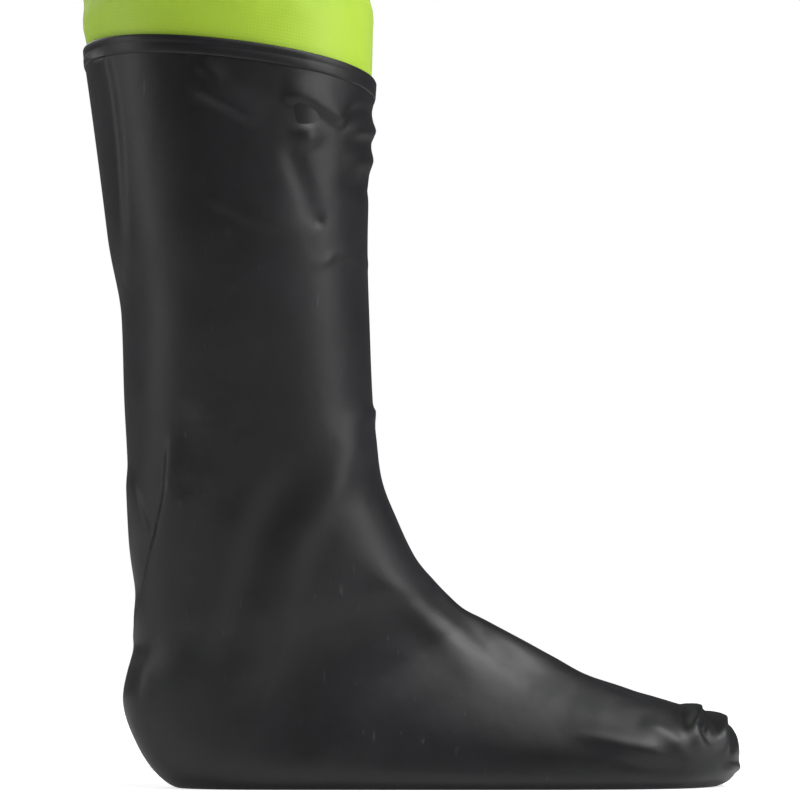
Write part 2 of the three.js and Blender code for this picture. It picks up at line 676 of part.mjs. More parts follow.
// Webbing tab sewn to the bib, folded round the socket's bar.
function braceTab(frame) {
  const share = (mm) => 1 + mm / (topEdge(braceU) - WAIST.z);
  const outward = trunk.normal(braceU, 1);
  const inward = outward.clone().negate();
  const under = LAYER_GAP + PATCH + LAYER_GAP + WEBBING_WALL / 2;
  const over = under + WEBBING_WALL + FIT;
  const up = [-46, -30, -12, 1].map((mm) => [trunk.at(braceU, share(mm), under), inward]);
  const down = [-4, -14, -28, -43].map((mm) => [trunk.at(braceU, share(mm), over), outward]);
  return ribbon([...up, ...fold(frame, 0, 0, foldRadius, 270, 458 + BRACE_LEAN, 7), ...down], WEBBING);
}

// The end of the brace: round the clip's bar, up behind and round the slider's bar.
function braceEnd(frame) {
  const back = frame.n.clone().negate();
  return ribbon(
    [
      ...fold(frame, clipBar, 0, foldRadius, 90, 270),
      [frame.point(0, (clipBar + sliderBar) / 2, -foldRadius), back],
      ...fold(frame, sliderBar, sliderBarN, sliderFold, 270, 450),
      [frame.point(0, sliderBar - 18, sliderBarN + sliderFold), frame.n],
    ],
    WEBBING,
  );
}

// The elastic strap: straight up from the clip, over the shoulder and down to the yoke.
function braceStrap(frame) {
  const straight = [1, SLIDER_RISE, SLIDER_RISE + 45].map(
    (rise) => [frame.point(0, clipBar + rise, foldRadius), frame.n],
  );
  const top = straight[2][0];
  const across = WEBBING / 2 + 3;
  const lean = 0.3; // how far a strap's line moves sideways as it climbs the yoke
  const landing = (t) => yoke.point(across + lean * (t + 10), t, onYoke);
  const knots = [
    [straight[1][0], frame.n],
    [top, frame.n],
    [V(70, -BRACE_OFFSET - 8, SHOULDER_Z - 16), V(0.5, 0, 0.87)],
    [V(8, -BRACE_OFFSET - 4, SHOULDER_Z), V(0, 0, 1)],
    [V(-56, -BRACE_OFFSET + 12, SHOULDER_Z - 24), V(-0.55, 0, 0.83)],
    [landing(75).add(V(-2, 0, 0)), V(-0.9, 0, 0.4)],
    [landing(38), yoke.n],
    [landing(14), yoke.n],
    [landing(-10), yoke.n],
  ];
  const curve = new THREE.CatmullRomCurve3(knots.map((k) => k[0]), false, "centripetal");
  const steps = 32;
  const skip = steps / (knots.length - 1); // the straight stretch has its own points
  const arch = Array.from({ length: steps - skip + 1 }, (_, k) => {
    const place = ((k + skip) / steps) * (knots.length - 1);
    const i = Math.min(Math.floor(place), knots.length - 2);
    const facing = knots[i][1].clone().lerp(knots[i + 1][1], place - i).normalize();
    return [curve.getPoint((k + skip) / steps), facing];
  });
  return ribbon([straight[0], straight[1], ...arch], WEBBING);
}

// A slider that the strap runs straight through: two bars in front of it, and one behind that holds its end.
function braceSlider(frame) {
  const half = SLIDER_LENGTH / 2;
  const front = foldRadius + WEBBING_WALL / 2 + FIT;
  const rails = [-1, 1].map((s) => {
    const [a, b] = s < 0 ? [-outerHalf, -innerHalf] : [innerHalf, outerHalf];
    return block(a, b, sliderBar - half, sliderBar + half, -foldRadius, front + 2);
  });
  const bars = [-half, half - 4].map(
    (t) => block(-outerHalf, outerHalf, sliderBar + t, sliderBar + t + 4, front, front + 2),
  );
  const held = bar(SLIDER_BAR, outerHalf - 1, sliderBar, sliderBarN, 8);
  return frame.place(combine(rails[0], [rails[1], ...bars, held]));
}

function buildBraces() {
  const frame = braceFrame();
  addPair("brace_tab", braceTab(frame), WEBBING_BLACK, 0.8);
  addPair("brace_socket", frame.place(socketGeometry()), ACETAL, 0.4);
  addPair("brace_clip", frame.place(clipGeometry()), ACETAL, 0.4);
  addPair("brace_end", braceEnd(frame), WEBBING_BLACK, 0.8);
  addPair("brace_slider", braceSlider(frame), ACETAL, 0.4);
  addPair("brace_strap", braceStrap(frame), WEBBING_BLACK, 0.8);
  const outline = [[-24, -36], [24, -36], [45, -14], [52, 26], [40, 34], [-40, 34], [-52, 26], [-45, -14]];
  add("back_yoke", yoke.place(slab(outline, 5, -YOKE_WALL / 2, YOKE_WALL / 2)), WEBBING_BLACK, 0.6);
  // The elastic between the yoke and the back of the bib.
  const under = LAYER_GAP + PATCH + LAYER_GAP + WEBBING_WALL / 2;
  const onBib = [2, -12, -30, -46].map((mm) => {
    const v = 1 + mm / (BIB_BACK_Z - WAIST.z);
    return [trunk.at(0.75, v, under), trunk.normal(0.75, 1)];
  });
  const link = [[yoke.point(0, -18, onYoke), yoke.n], [yoke.point(0, -38, onYoke), yoke.n]];
  const middle = link[1][0].clone().lerp(onBib[0][0], 0.5);
  add("back_tab", ribbon([...link, [middle, yoke.n], ...onBib], WEBBING), WEBBING_BLACK, 0.8);
}

// ---------------------------------------------------------------- belt

const BELT_CLEARANCE = 1.4; // behind the belt's buckle at the centre front
const beltLift = BUCKLE_THICKNESS / 2 + BELT_CLEARANCE - foldRadius;
const beltCentre = trunk.at(0.25, heightShare(0.25, BELT_Z), beltLift + foldRadius);
const beltFrame = new Frame(beltCentre, V(0, 1, 0), V(1, 0, 0));
beltFrame.origin.y = -clipBar / 2; // the middle of the buckle is on the centre plane

// The belt's line round the trunk, from its right end by the back to its left end.
function beltRun(from, to, lift, facingOut) {
  const us = trunk.columns(to, from).reverse();
  return us.map((u) => {
    const v = heightShare(u, BELT_Z);
    const out = trunk.normal(u, v);
    return [trunk.at(u, v, lift), facingOut ? out : out.negate()];
  });
}

function buildBelt() {
  const start = frontAt(beltFrame.origin.y - 14, BELT_Z);
  const end = 0.5 - start - 1;
  const sewn = [
    [beltFrame.point(0, -34, foldRadius - 1.6), beltFrame.n],
    [beltFrame.point(0, -12, foldRadius - 0.4), beltFrame.n],
  ];
  const inner = beltFrame.n.clone().negate();
  const belt = [
    ...sewn,
    ...fold(beltFrame, 0, 0, foldRadius, 90, -90),
    ...beltRun(start, end, beltLift, false),
    [beltFrame.point(0, clipBar + 3 * FIT, -foldRadius), inner],
  ];
  add("belt_webbing", ribbon(belt, WEBBING), WEBBING_BLACK, 0.8);
  add("belt_socket", beltFrame.place(socketGeometry()), ACETAL, 0.4);
  add("belt_clip", beltFrame.place(clipGeometry()), ACETAL, 0.4);
  const tail = [
    ...fold(beltFrame, clipBar, 0, foldRadius, 270, 90),
    [beltFrame.point(0, clipBar + 16, foldRadius - 0.4), beltFrame.n],
    [beltFrame.point(0, clipBar + 46, foldRadius - 4.6), beltFrame.n],
  ];
  add("belt_tail", ribbon(tail, WEBBING), WEBBING_BLACK, 0.8);
}

// Loops that carry the belt: sewn to the bib above and below it, and arched over it.
function buildBeltLoops() {
  const places = { right_front: 0.09, left_front: 0.41, left_back: 0.6, back: 0.75, right_back: 0.9 };
  const low = LAYER_GAP;
  const high = beltLift + WEBBING_WALL / 2 + 2 * FIT;
  const [foot, shoulder] = [WEBBING / 2 + 14, WEBBING / 2 + 3];
  for (const [name, u] of Object.entries(places)) {
    const reach = BELT_LOOP_WIDTH / 2 / 1120;
    const section = (at) => {
      const v = (mm) => heightShare(at, BELT_Z + mm);
      return [
        [v(-foot), low + PATCH], [v(-shoulder - 5), low + PATCH], [v(-shoulder - 1), high + PATCH],
        [v(shoulder + 1), high + PATCH], [v(shoulder + 5), low + PATCH], [v(foot), low + PATCH],
        [v(foot), low], [v(shoulder + 4), low], [v(shoulder), high],
        [v(-shoulder), high], [v(-shoulder - 4), low], [v(-foot), low],
      ];
    };
    const loop = sweep(trunk, trunk.columns(u - reach, u + reach), section);
    add(`belt_loop_${name}`, loop, LIME_PATCH, 0.55);
  }
}

// ---------------------------------------------------------------- chest pocket

const pocketTop = LAYER_GAP + PATCH;
const zipZ = (POCKET_LOW_Z + POCKET_TOP_Z) / 2;
const zipU = frontAt(ZIP_OFFSET, zipZ);
const zipFrame = trunk.frame(zipU, heightShare(zipU, zipZ), pocketTop + 2 * LAYER_GAP);
const TAPE_HALF = 13; // zip tape each side of the teeth
const ZIP_TAPE_WALL = 0.8;
const TEETH_HALF = 2.5;
const TEETH_HEIGHT = 1.6;
const PULLER_LENGTH = 13;
const PULLER_HALF = 5;
const pullerTop = ZIP_TAPE_WALL + TEETH_HEIGHT + FIT + 2.2;
const pullerRest = ZIP_LENGTH / 2 - PULLER_LENGTH / 2 - 4;
const PIN_RADIUS = 0.9;
const pinN = pullerTop + 2.6;
const pinT = pullerRest + 2;

function buildPocket() {
  const edge = (y) => frontAt(y, zipZ);
  const low = (u) => heightShare(u, POCKET_LOW_Z);
  const high = (u) => heightShare(u, POCKET_TOP_Z);
  const span = [edge(-POCKET_HALF_WIDTH), edge(POCKET_HALF_WIDTH)];
  const cuts = [0, 0.33, 0.67, 1];
  add("pocket_panel", layer(trunk, ...span, low, high, LAYER_GAP, pocketTop, cuts), LIME_PATCH, 0.55);

  const half = ZIP_LENGTH / 2;
  const tape = block(-TAPE_HALF, TAPE_HALF, -half, half, 0, ZIP_TAPE_WALL);
  const crest = ZIP_TAPE_WALL + TEETH_HEIGHT;
  const teeth = block(-TEETH_HALF, TEETH_HALF, -half + 3, half - 3, ZIP_TAPE_WALL / 2, crest);
  add("pocket_zip", zipFrame.place(combine(tape, [teeth])), WEBBING_BLACK, 0.6);

  const [t0, t1] = [pullerRest - PULLER_LENGTH / 2, pullerRest + PULLER_LENGTH / 2];
  const body = slab(
    [[-PULLER_HALF, t0 + 3], [-PULLER_HALF + 2, t0], [PULLER_HALF - 2, t0], [PULLER_HALF, t0 + 3],
      [PULLER_HALF, t1], [-PULLER_HALF, t1]],
    1, ZIP_TAPE_WALL + FIT, pullerTop,
  );
  const channel = block(-TEETH_HALF - FIT, TEETH_HALF + FIT, t0 - 1, t1 + 1, 0, crest + FIT);
  const ears = [-1, 1].map((s) => {
    const [a, b] = s < 0 ? [-3.6, -2.4] : [2.4, 3.6];
    return block(a, b, pinT - 1.8, pinT + 1.8, pullerTop - 0.5, pinN + 1.3);
  });
  const pin = bar(PIN_RADIUS, 3.5, pinT, pinN, 8);
  add("pocket_zip_slider", zipFrame.place(combine(body, [...ears, pin], [channel])), STEEL, 0.35, 0.9);

  const hang = zipFrame.hanging(pinT, pinN);
  const outline = [[-2, 2.2], [2, 2.2], [2, -4], [3.6, -9], [3.6, -28], [-3.6, -28], [-3.6, -9], [-2, -4]];
  const tab = slab(outline, 0.8, -0.8, 0.8);
  const knuckle = bar(2.2, 2, 0, 0, 12);
  const bore = bar(PIN_RADIUS + FIT, 4, 0, 0, 12);
  const grip = block(-1.6, 1.6, -25, -14, -2, 2);
  add("pocket_zip_pull", hang.place(combine(tab, [knuckle], [bore, grip])), STEEL, 0.35, 0.9);
}

// ---------------------------------------------------------------- D-ring

const ringU = frontAt(-RING_OFFSET, RING_Z);
const ringFold = RING_WIRE + FIT + WEBBING_WALL / 2;
const ringLift = LAYER_GAP + WEBBING_WALL + ringFold - WEBBING_WALL / 2;
const ringFrame = trunk.frame(ringU, heightShare(ringU, RING_Z), ringLift);

// The ring's wire: straight through the tab, then a half round hanging below it.
function ringPath() {
  const half = RING_WIDTH / 2 + 2.6;
  const drop = 5;
  const points = [[-half, 0], [0, 0], [half, 0], [half + 1, -drop]];
  const arcs = 10;
  for (let k = 1; k < arcs; k++) {
    const angle = (Math.PI * k) / arcs;
    points.push([(half + 1) * Math.cos(angle), -drop - (half + 1) * Math.sin(angle)]);
  }
  points.push([-half - 1, -drop]);
  return points;
}

function buildRing() {
  const path = ringPath();
  const hang = ringFrame.hanging(0, 0);
  const sides = 8;
  const rings = path.map(([w, t], i) => {
    const [before, after] = [path[(i + path.length - 1) % path.length], path[(i + 1) % path.length]];
    const along = new THREE.Vector2(after[0] - before[0], after[1] - before[1]).normalize();
    return Array.from({ length: sides }, (_, k) => {
      const angle = (2 * Math.PI * (k + 0.5)) / sides;
      const out = RING_WIRE * Math.cos(angle);
      return hang.point(w - along.y * out, t + along.x * out, RING_WIRE * Math.sin(angle));
    });
  });
  add("chest_d_ring", loft(rings, true), STEEL, 0.3, 0.9);

  const z = (mm) => heightShare(ringU, RING_Z + mm);
  const out = trunk.normal(ringU, z(0));
  const inward = out.clone().negate();
  const under = LAYER_GAP + WEBBING_WALL / 2;
  const over = under + WEBBING_WALL + FIT;
  const tab = [
    [trunk.at(ringU, z(34), under), inward],
    [trunk.at(ringU, z(14), under), inward],
    ...fold(ringFrame, 0, 0, ringFold, 270, 90),
    [trunk.at(ringU, z(14), over + 0.6), out],
    [trunk.at(ringU, z(32), over), out],
  ];
  add("d_ring_tab", ribbon(tab, RING_WIDTH), WEBBING_BLACK, 0.8);
}

// ---------------------------------------------------------------- assembly

buildSock("right", RIGHT);
buildSock("left", LEFT);
buildLeg("right", RIGHT);
buildLeg("left", LEFT);
buildBib();
buildBinding();
buildBraces();
buildBelt();
buildBeltLoops();
buildPocket();
buildRing();

// The origin is on the floor, under the middle of the whole object.
const extent = new THREE.Box3().setFromObject(waders);
waders.position.x = -(extent.min.x + extent.max.x) / 2;

export default waders;
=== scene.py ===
"""Chest waders with latex socks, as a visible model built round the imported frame.

The garment is one skin that a cloth simulation has wrinkled. Every panel, patch, tape and stitch is cut from
that skin, the webbing runs through frames measured on the buckles, and the socks are drawn over a last.
Lengths inside the classes are millimetres in the drawing frame, whose X starts at the middle of the leg;
Shape.object turns them into metres in the row frame.
"""

from __future__ import annotations

import json
import logging
import math
from dataclasses import dataclass
from enum import Enum
from typing import Any, Sequence

import bmesh
import bpy
import numpy as np
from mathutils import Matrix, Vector

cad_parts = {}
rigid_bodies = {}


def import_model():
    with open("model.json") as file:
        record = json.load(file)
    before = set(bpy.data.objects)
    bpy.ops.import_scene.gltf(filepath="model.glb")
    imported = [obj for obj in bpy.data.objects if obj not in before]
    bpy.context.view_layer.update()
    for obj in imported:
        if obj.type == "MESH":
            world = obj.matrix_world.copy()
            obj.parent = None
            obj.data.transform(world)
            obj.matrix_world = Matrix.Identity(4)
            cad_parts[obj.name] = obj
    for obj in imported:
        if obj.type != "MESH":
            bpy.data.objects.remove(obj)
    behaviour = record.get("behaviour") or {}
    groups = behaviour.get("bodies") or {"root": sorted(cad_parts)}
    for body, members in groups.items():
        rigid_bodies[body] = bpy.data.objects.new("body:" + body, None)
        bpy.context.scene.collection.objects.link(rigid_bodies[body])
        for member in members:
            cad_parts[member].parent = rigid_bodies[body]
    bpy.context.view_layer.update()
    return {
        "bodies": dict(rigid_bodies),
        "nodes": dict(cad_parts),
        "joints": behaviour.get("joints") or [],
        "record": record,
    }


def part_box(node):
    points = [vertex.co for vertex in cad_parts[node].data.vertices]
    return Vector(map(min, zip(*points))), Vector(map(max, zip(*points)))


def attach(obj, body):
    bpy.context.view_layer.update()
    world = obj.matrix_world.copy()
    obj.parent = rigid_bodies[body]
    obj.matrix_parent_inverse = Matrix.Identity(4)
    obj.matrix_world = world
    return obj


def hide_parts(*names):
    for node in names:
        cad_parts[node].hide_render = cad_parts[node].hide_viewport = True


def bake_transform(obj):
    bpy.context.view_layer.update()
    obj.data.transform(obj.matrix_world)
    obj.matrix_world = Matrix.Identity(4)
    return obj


LOG = logging.getLogger("waders")
MM = 0.001
Array = np.ndarray
Pairs = Sequence[tuple[float, float]]
Path = list[tuple[Array, Array]]  # (place, direction that faces out)

NODES: dict[str, bpy.types.Object] = {}  # the CAD nodes, filled once the frame is loaded
JOINTS: list[dict[str, Any]] = []  # the CAD joints


def joint(name: str) -> dict[str, Any]:
    """The joint of that name, as the frame gives it."""
    return next(one for one in JOINTS if one["name"] == name)


class Side(Enum):
    """Which half of the waders a piece belongs to."""

    RIGHT = -1
    LEFT = 1

    @property
    def label(self) -> str:
        """The side's word in piece names."""
        return self.name.lower()

    @property
    def mirror(self) -> Array:
        """What a right-hand place is multiplied by to stand on this side."""
        return np.array([1.0, -self.value, 1.0])


# ------------------------------------------------------------------------------------------------ numbers


class Track:
    """A smooth function through chosen points, with no overshoot between them."""

    def __init__(self, pairs: Pairs) -> None:
        """Prepares the curve.

        Args:
            pairs: (position, value) points, in order of position.
        """
        self.at, self.value = (np.array(column, float) for column in zip(*pairs))
        slope = np.diff(self.value) / np.diff(self.at)
        product = slope[:-1] * slope[1:]
        total = np.where(product > 0, slope[:-1] + slope[1:], 1.0)
        inner = np.where(product > 0, 2 * product / total, 0.0)
        self.tangent = np.concatenate([slope[:1], inner, slope[-1:]])

    def __call__(self, at: Array | float) -> Array:
        """Reads the curve, which is level past its ends.

        Args:
            at: positions.

        Returns:
            The value at each.
        """
        s = np.clip(at, self.at[0], self.at[-1])
        k = np.clip(np.searchsorted(self.at, s, side="left"), 1, len(self.at) - 1)
        h = self.at[k] - self.at[k - 1]
        t = (s - self.at[k - 1]) / h
        rise = (self.value[k] - self.value[k - 1]) * t * t * (3 - 2 * t)
        bend = self.tangent[k - 1] * (1 - t) - self.tangent[k] * t
        return self.value[k - 1] + rise + h * t * (1 - t) * bend


def signed_power(value: Array, power: Array | float) -> Array:
    """A power of a sine or cosine that keeps its sign, as a superellipse needs."""
    return np.sign(value) * np.abs(value) ** (2 / power)


def smooth(value: Array | float, low: float, high: float) -> Array:
    """Goes smoothly from 0 at low to 1 at high."""
    t = np.clip((np.asarray(value, float) - low) / (high - low), 0, 1)
    return t * t * (3 - 2 * t)


def unit(vectors: Array) -> Array:
    """Vectors scaled to length 1, along the last axis."""
    return vectors / np.maximum(np.linalg.norm(vectors, axis=-1, keepdims=True), 1e-9)


# ------------------------------------------------------------------------------------------------ meshes


def in_scene(name: str, data: bpy.types.ID) -> bpy.types.Object:
    """Makes an object and links it to the scene.

    Args:
        name: the object's name.
        data: its mesh, light or camera.

    Returns:
        The object.
    """
    made = bpy.data.objects.new(name, data)
    bpy.context.scene.collection.objects.link(made)
    return made


def finished(piece: bpy.types.Object) -> bpy.types.Mesh:
    """Turns a piece's modifiers into plain mesh, and removes them.

    Args:
        piece: the object.

    Returns:
        Its new mesh.
    """
    drawn = piece.data
    done = bpy.data.meshes.new_from_object(piece.evaluated_get(bpy.context.evaluated_depsgraph_get()))
    piece.modifiers.clear()
    piece.data = done
    bpy.data.meshes.remove(drawn)
    done.name = piece.name
    return done


@dataclass
class Shape:
    """Vertices and faces under construction, in millimetres."""

    points: Array
    faces: list[tuple[int, ...]]
    uv: Array | None = None

    SHIFT = 0.0  # millimetres from the drawing frame to the row frame along X, set once from the frame

    def object(self, name: str, sharp: float | None = None) -> bpy.types.Object:
        """Makes the Blender object, in metres in the row frame, with its faces pointing out.

        Args:
            name: the piece's name.
            sharp: angle in degrees past which an edge is shaded sharp, or None for smooth all over.

        Returns:
            The linked object.
        """
        placed = (self.points + np.array([Shape.SHIFT, 0, 0])) * MM
        mesh = bpy.data.meshes.new(name)
        faces = self.faces
        if self.volume() < 0:
            faces = [face[::-1] for face in faces]
        mesh.from_pydata(placed.tolist(), [], faces)
        if self.uv is not None:
            index = np.zeros(len(mesh.loops), np.int32)
            mesh.loops.foreach_get("vertex_index", index)
            layer = mesh.uv_layers.new(name="Flat")
            layer.data.foreach_set("uv", (self.uv[index] * MM).astype(np.float32).ravel())
        mesh.shade_smooth()
        if sharp is not None:
            mesh.set_sharp_from_angle(angle=math.radians(sharp))
        mesh.validate()
        return in_scene(name, mesh)

    def volume(self) -> float:
        """Measures the shape, to find which way its faces point.

        Returns:
            Six times the signed volume, which is negative where they point inwards.
        """
        total = 0.0
        by_length: dict[int, list[tuple[int, ...]]] = {}
        for face in self.faces:
            by_length.setdefault(len(face), []).append(face)
        centred = self.points - self.points.mean(axis=0)
        for length, group in by_length.items():
            index = np.array(group)
            for k in range(1, length - 1):
                a, b, c = (centred[index[:, j]] for j in (0, k, k + 1))
                total += float(np.einsum("ij,ij->", a, np.cross(b, c)))
        return total


def grid_faces(rows: int, columns: int, wrap: bool, start: int = 0) -> list[tuple[int, ...]]:
    """Quads of a grid whose points are stored row by row.

    Args:
        rows: number of rows of points.
        columns: number of points in a row.
        wrap: whether each row closes on itself.
        start: index of the first point.

    Returns:
        Faces as tuples of four indices.
    """
    r = np.arange(rows - 1)[:, None] * columns + start
    c = np.arange(columns if wrap else columns - 1)[None, :]
    nxt = (c + 1) % columns
    quads = np.stack([r + c, r + nxt, r + columns + nxt, r + columns + c], axis=-1)
    return [tuple(q) for q in quads.reshape(-1, 4).tolist()]


def closed_sheet(outer: Array, inner: Array, uv: Array | None = None, wrap: bool = False) -> Shape:
    """A sheet with a thickness: two grids of the same size, joined round their edges.

    Args:
        outer: rows by columns by 3.
        inner: the other face, point for point.
        uv: rows by columns by 2, in millimetres, given to both faces.
        wrap: whether each row closes on itself.

    Returns:
        The closed shape.
    """
    rows, columns = outer.shape[:2]
    count = rows * columns
    faces = grid_faces(rows, columns, wrap)
    faces += [face[::-1] for face in grid_faces(rows, columns, wrap, count)]
    last = (rows - 1) * columns
    for base in (0, last):
        for k in range(columns if wrap else columns - 1):
            a, b = base + k, base + (k + 1) % columns
            strip = (a, a + count, b + count, b)
            faces.append(strip if base == 0 else strip[::-1])
    if not wrap:
        for column in (0, columns - 1):
            for k in range(rows - 1):
                a, b = k * columns + column, (k + 1) * columns + column
                strip = (a, b, b + count, a + count)
                faces.append(strip if column == 0 else strip[::-1])
    points = np.concatenate([outer.reshape(-1, 3), inner.reshape(-1, 3)])
    both = None if uv is None else np.concatenate([uv.reshape(-1, 2)] * 2)
    return Shape(points, faces, both)


# ------------------------------------------------------------------------------------------------ materials


def linear(colour: str) -> tuple[float, float, float, float]:
    """Turns an sRGB colour to linear.

    Args:
        colour: hex, such as "#b4d84e".

    Returns:
        Linear RGBA.
    """
    parts = [int(colour[k : k + 2], 16) / 255 for k in (1, 3, 5)]
    r, g, b = (c / 12.92 if c <= 0.04045 else ((c + 0.055) / 1.055) ** 2.4 for c in parts)
    return (r, g, b, 1.0)


def add_node(
    tree: bpy.types.NodeTree, kind: str, inputs: dict[Any, Any] | None = None, **settings: Any
) -> bpy.types.Node:
    """Adds a node, with its settings and its inputs filled or linked.

    Args:
        tree: the node tree.
        kind: the node's type name.
        inputs: by input name or number, a value or the socket to link from.
        **settings: the node's own properties.

    Returns:
        The node.
    """
    made = tree.nodes.new(kind)
    for name, value in settings.items():
        setattr(made, name, value)
    for key, value in (inputs or {}).items():
        if isinstance(value, bpy.types.NodeSocket):
            tree.links.new(value, made.inputs[key])
        else:
            made.inputs[key].default_value = value
    return made


def ramp(node: bpy.types.Node, stops: Sequence[tuple[float, tuple[float, ...]]]) -> bpy.types.Node:
    """Sets a Color Ramp's stops.

    Args:
        node: the Color Ramp.
        stops: (position, linear RGBA) pairs.

    Returns:
        The node.
    """
    elements = node.color_ramp.elements
    while len(elements) > 1:
        elements.remove(elements[0])
    elements[0].position, elements[0].color = stops[0]
    for position, colour in stops[1:]:
        elements.new(position).color = colour
    return node


def blank(name: str) -> tuple[bpy.types.Material, bpy.types.NodeTree, bpy.types.Node, bpy.types.NodeSocket]:
    """Makes a material that holds only its shader.

    Args:
        name: the material's name.

    Returns:
        The material, its node tree, its shader and the Object coordinates.
    """
    made = bpy.data.materials.new(name)
    made.use_nodes = True
    tree = made.node_tree
    return made, tree, tree.nodes["Principled BSDF"], add_node(tree, "ShaderNodeTexCoord").outputs["Object"]


@dataclass(frozen=True)
class Latex:
    """Dipped natural latex: a satin black skin that holds dust and pale rubbed marks."""

    name: str = "dipped_latex"
    colour: str = "#101012"
    dusty: str = "#1b1b1f"
    rubbed: str = "#5a5a60"
    roughness: float = 0.4
    cloud: float = 55.0  # millimetres across a patch of dust
    mark: float = 2.2  # millimetres across a scuff
    grain: float = 0.9  # millimetres, coarser than the real pores so that it shows
    dent: float = 22.0  # millimetres from one soft dent to the next

    def build(self) -> bpy.types.Material:
        """Makes the material.

        Returns:
            The material.
        """
        made, tree, shader, where = blank(self.name)
        cloud = add_node(tree, "ShaderNodeTexNoise", {
            "Vector": where, "Scale": 1000 / self.cloud, "Detail": 5.0, "Roughness": 0.6,
        })
        patch = ramp(add_node(tree, "ShaderNodeValToRGB", {"Fac": cloud.outputs["Fac"]}), [
            (0.38, (0, 0, 0, 1)), (0.72, (1, 1, 1, 1)),
        ])
        soiled = add_node(tree, "ShaderNodeMix", {
            "Factor": patch.outputs["Color"], "A": linear(self.colour), "B": linear(self.dusty),
        }, data_type="RGBA")
        # Scuffs are stretched along the leg, as they come from pulling boots on and off.
        drawn = add_node(tree, "ShaderNodeMapping", {"Vector": where, "Scale": (1.0, 1.0, 0.16)})
        scuff = add_node(tree, "ShaderNodeTexNoise", {
            "Vector": drawn.outputs["Vector"], "Scale": 1000 / self.mark, "Detail": 2.0, "Roughness": 0.5,
        })
        thin = ramp(add_node(tree, "ShaderNodeValToRGB", {"Fac": scuff.outputs["Fac"]}), [
            (0.69, (0, 0, 0, 1)), (0.78, (1, 1, 1, 1)),
        ])
        worn = add_node(tree, "ShaderNodeMath", {0: thin.outputs["Color"], 1: patch.outputs["Color"]},
                        operation="MULTIPLY")
        faint = add_node(tree, "ShaderNodeMath", {0: worn.outputs[0], 1: 0.45}, operation="MULTIPLY")
        colour = add_node(tree, "ShaderNodeMix", {
            "Factor": faint.outputs[0], "A": soiled.outputs["Result"], "B": linear(self.rubbed),
        }, data_type="RGBA")
        tree.links.new(colour.outputs["Result"], shader.inputs["Base Color"])
        gloss = add_node(tree, "ShaderNodeMapRange", {
            "Value": cloud.outputs["Fac"], "To Min": self.roughness - 0.05, "To Max": self.roughness + 0.14,
        })
        tree.links.new(gloss.outputs["Result"], shader.inputs["Roughness"])
        pores = add_node(tree, "ShaderNodeTexNoise", {
            "Vector": where, "Scale": 1000 / self.grain, "Detail": 3.0, "Roughness": 0.55,
        })
        slack = add_node(tree, "ShaderNodeTexNoise", {
            "Vector": where, "Scale": 1000 / self.dent, "Detail": 2.0, "Roughness": 0.5,
        })
        soft = add_node(tree, "ShaderNodeBump", {
            "Height": slack.outputs["Fac"], "Distance": 0.0016, "Strength": 0.35,
        })
        fine = add_node(tree, "ShaderNodeBump", {
            "Height": pores.outputs["Fac"], "Distance": 0.00008, "Strength": 0.5,
            "Normal": soft.outputs["Normal"],
        })
        tree.links.new(fine.outputs["Normal"], shader.inputs["Normal"])
        shader.inputs["IOR"].default_value = 1.5
        shader.inputs["Specular IOR Level"].default_value = 0.42
        shader.inputs["Sheen Weight"].default_value = 0.03
        shader.inputs["Sheen Roughness"].default_value = 0.5
        shader.inputs["Sheen Tint"].default_value = linear("#a9a9bd")
        return made


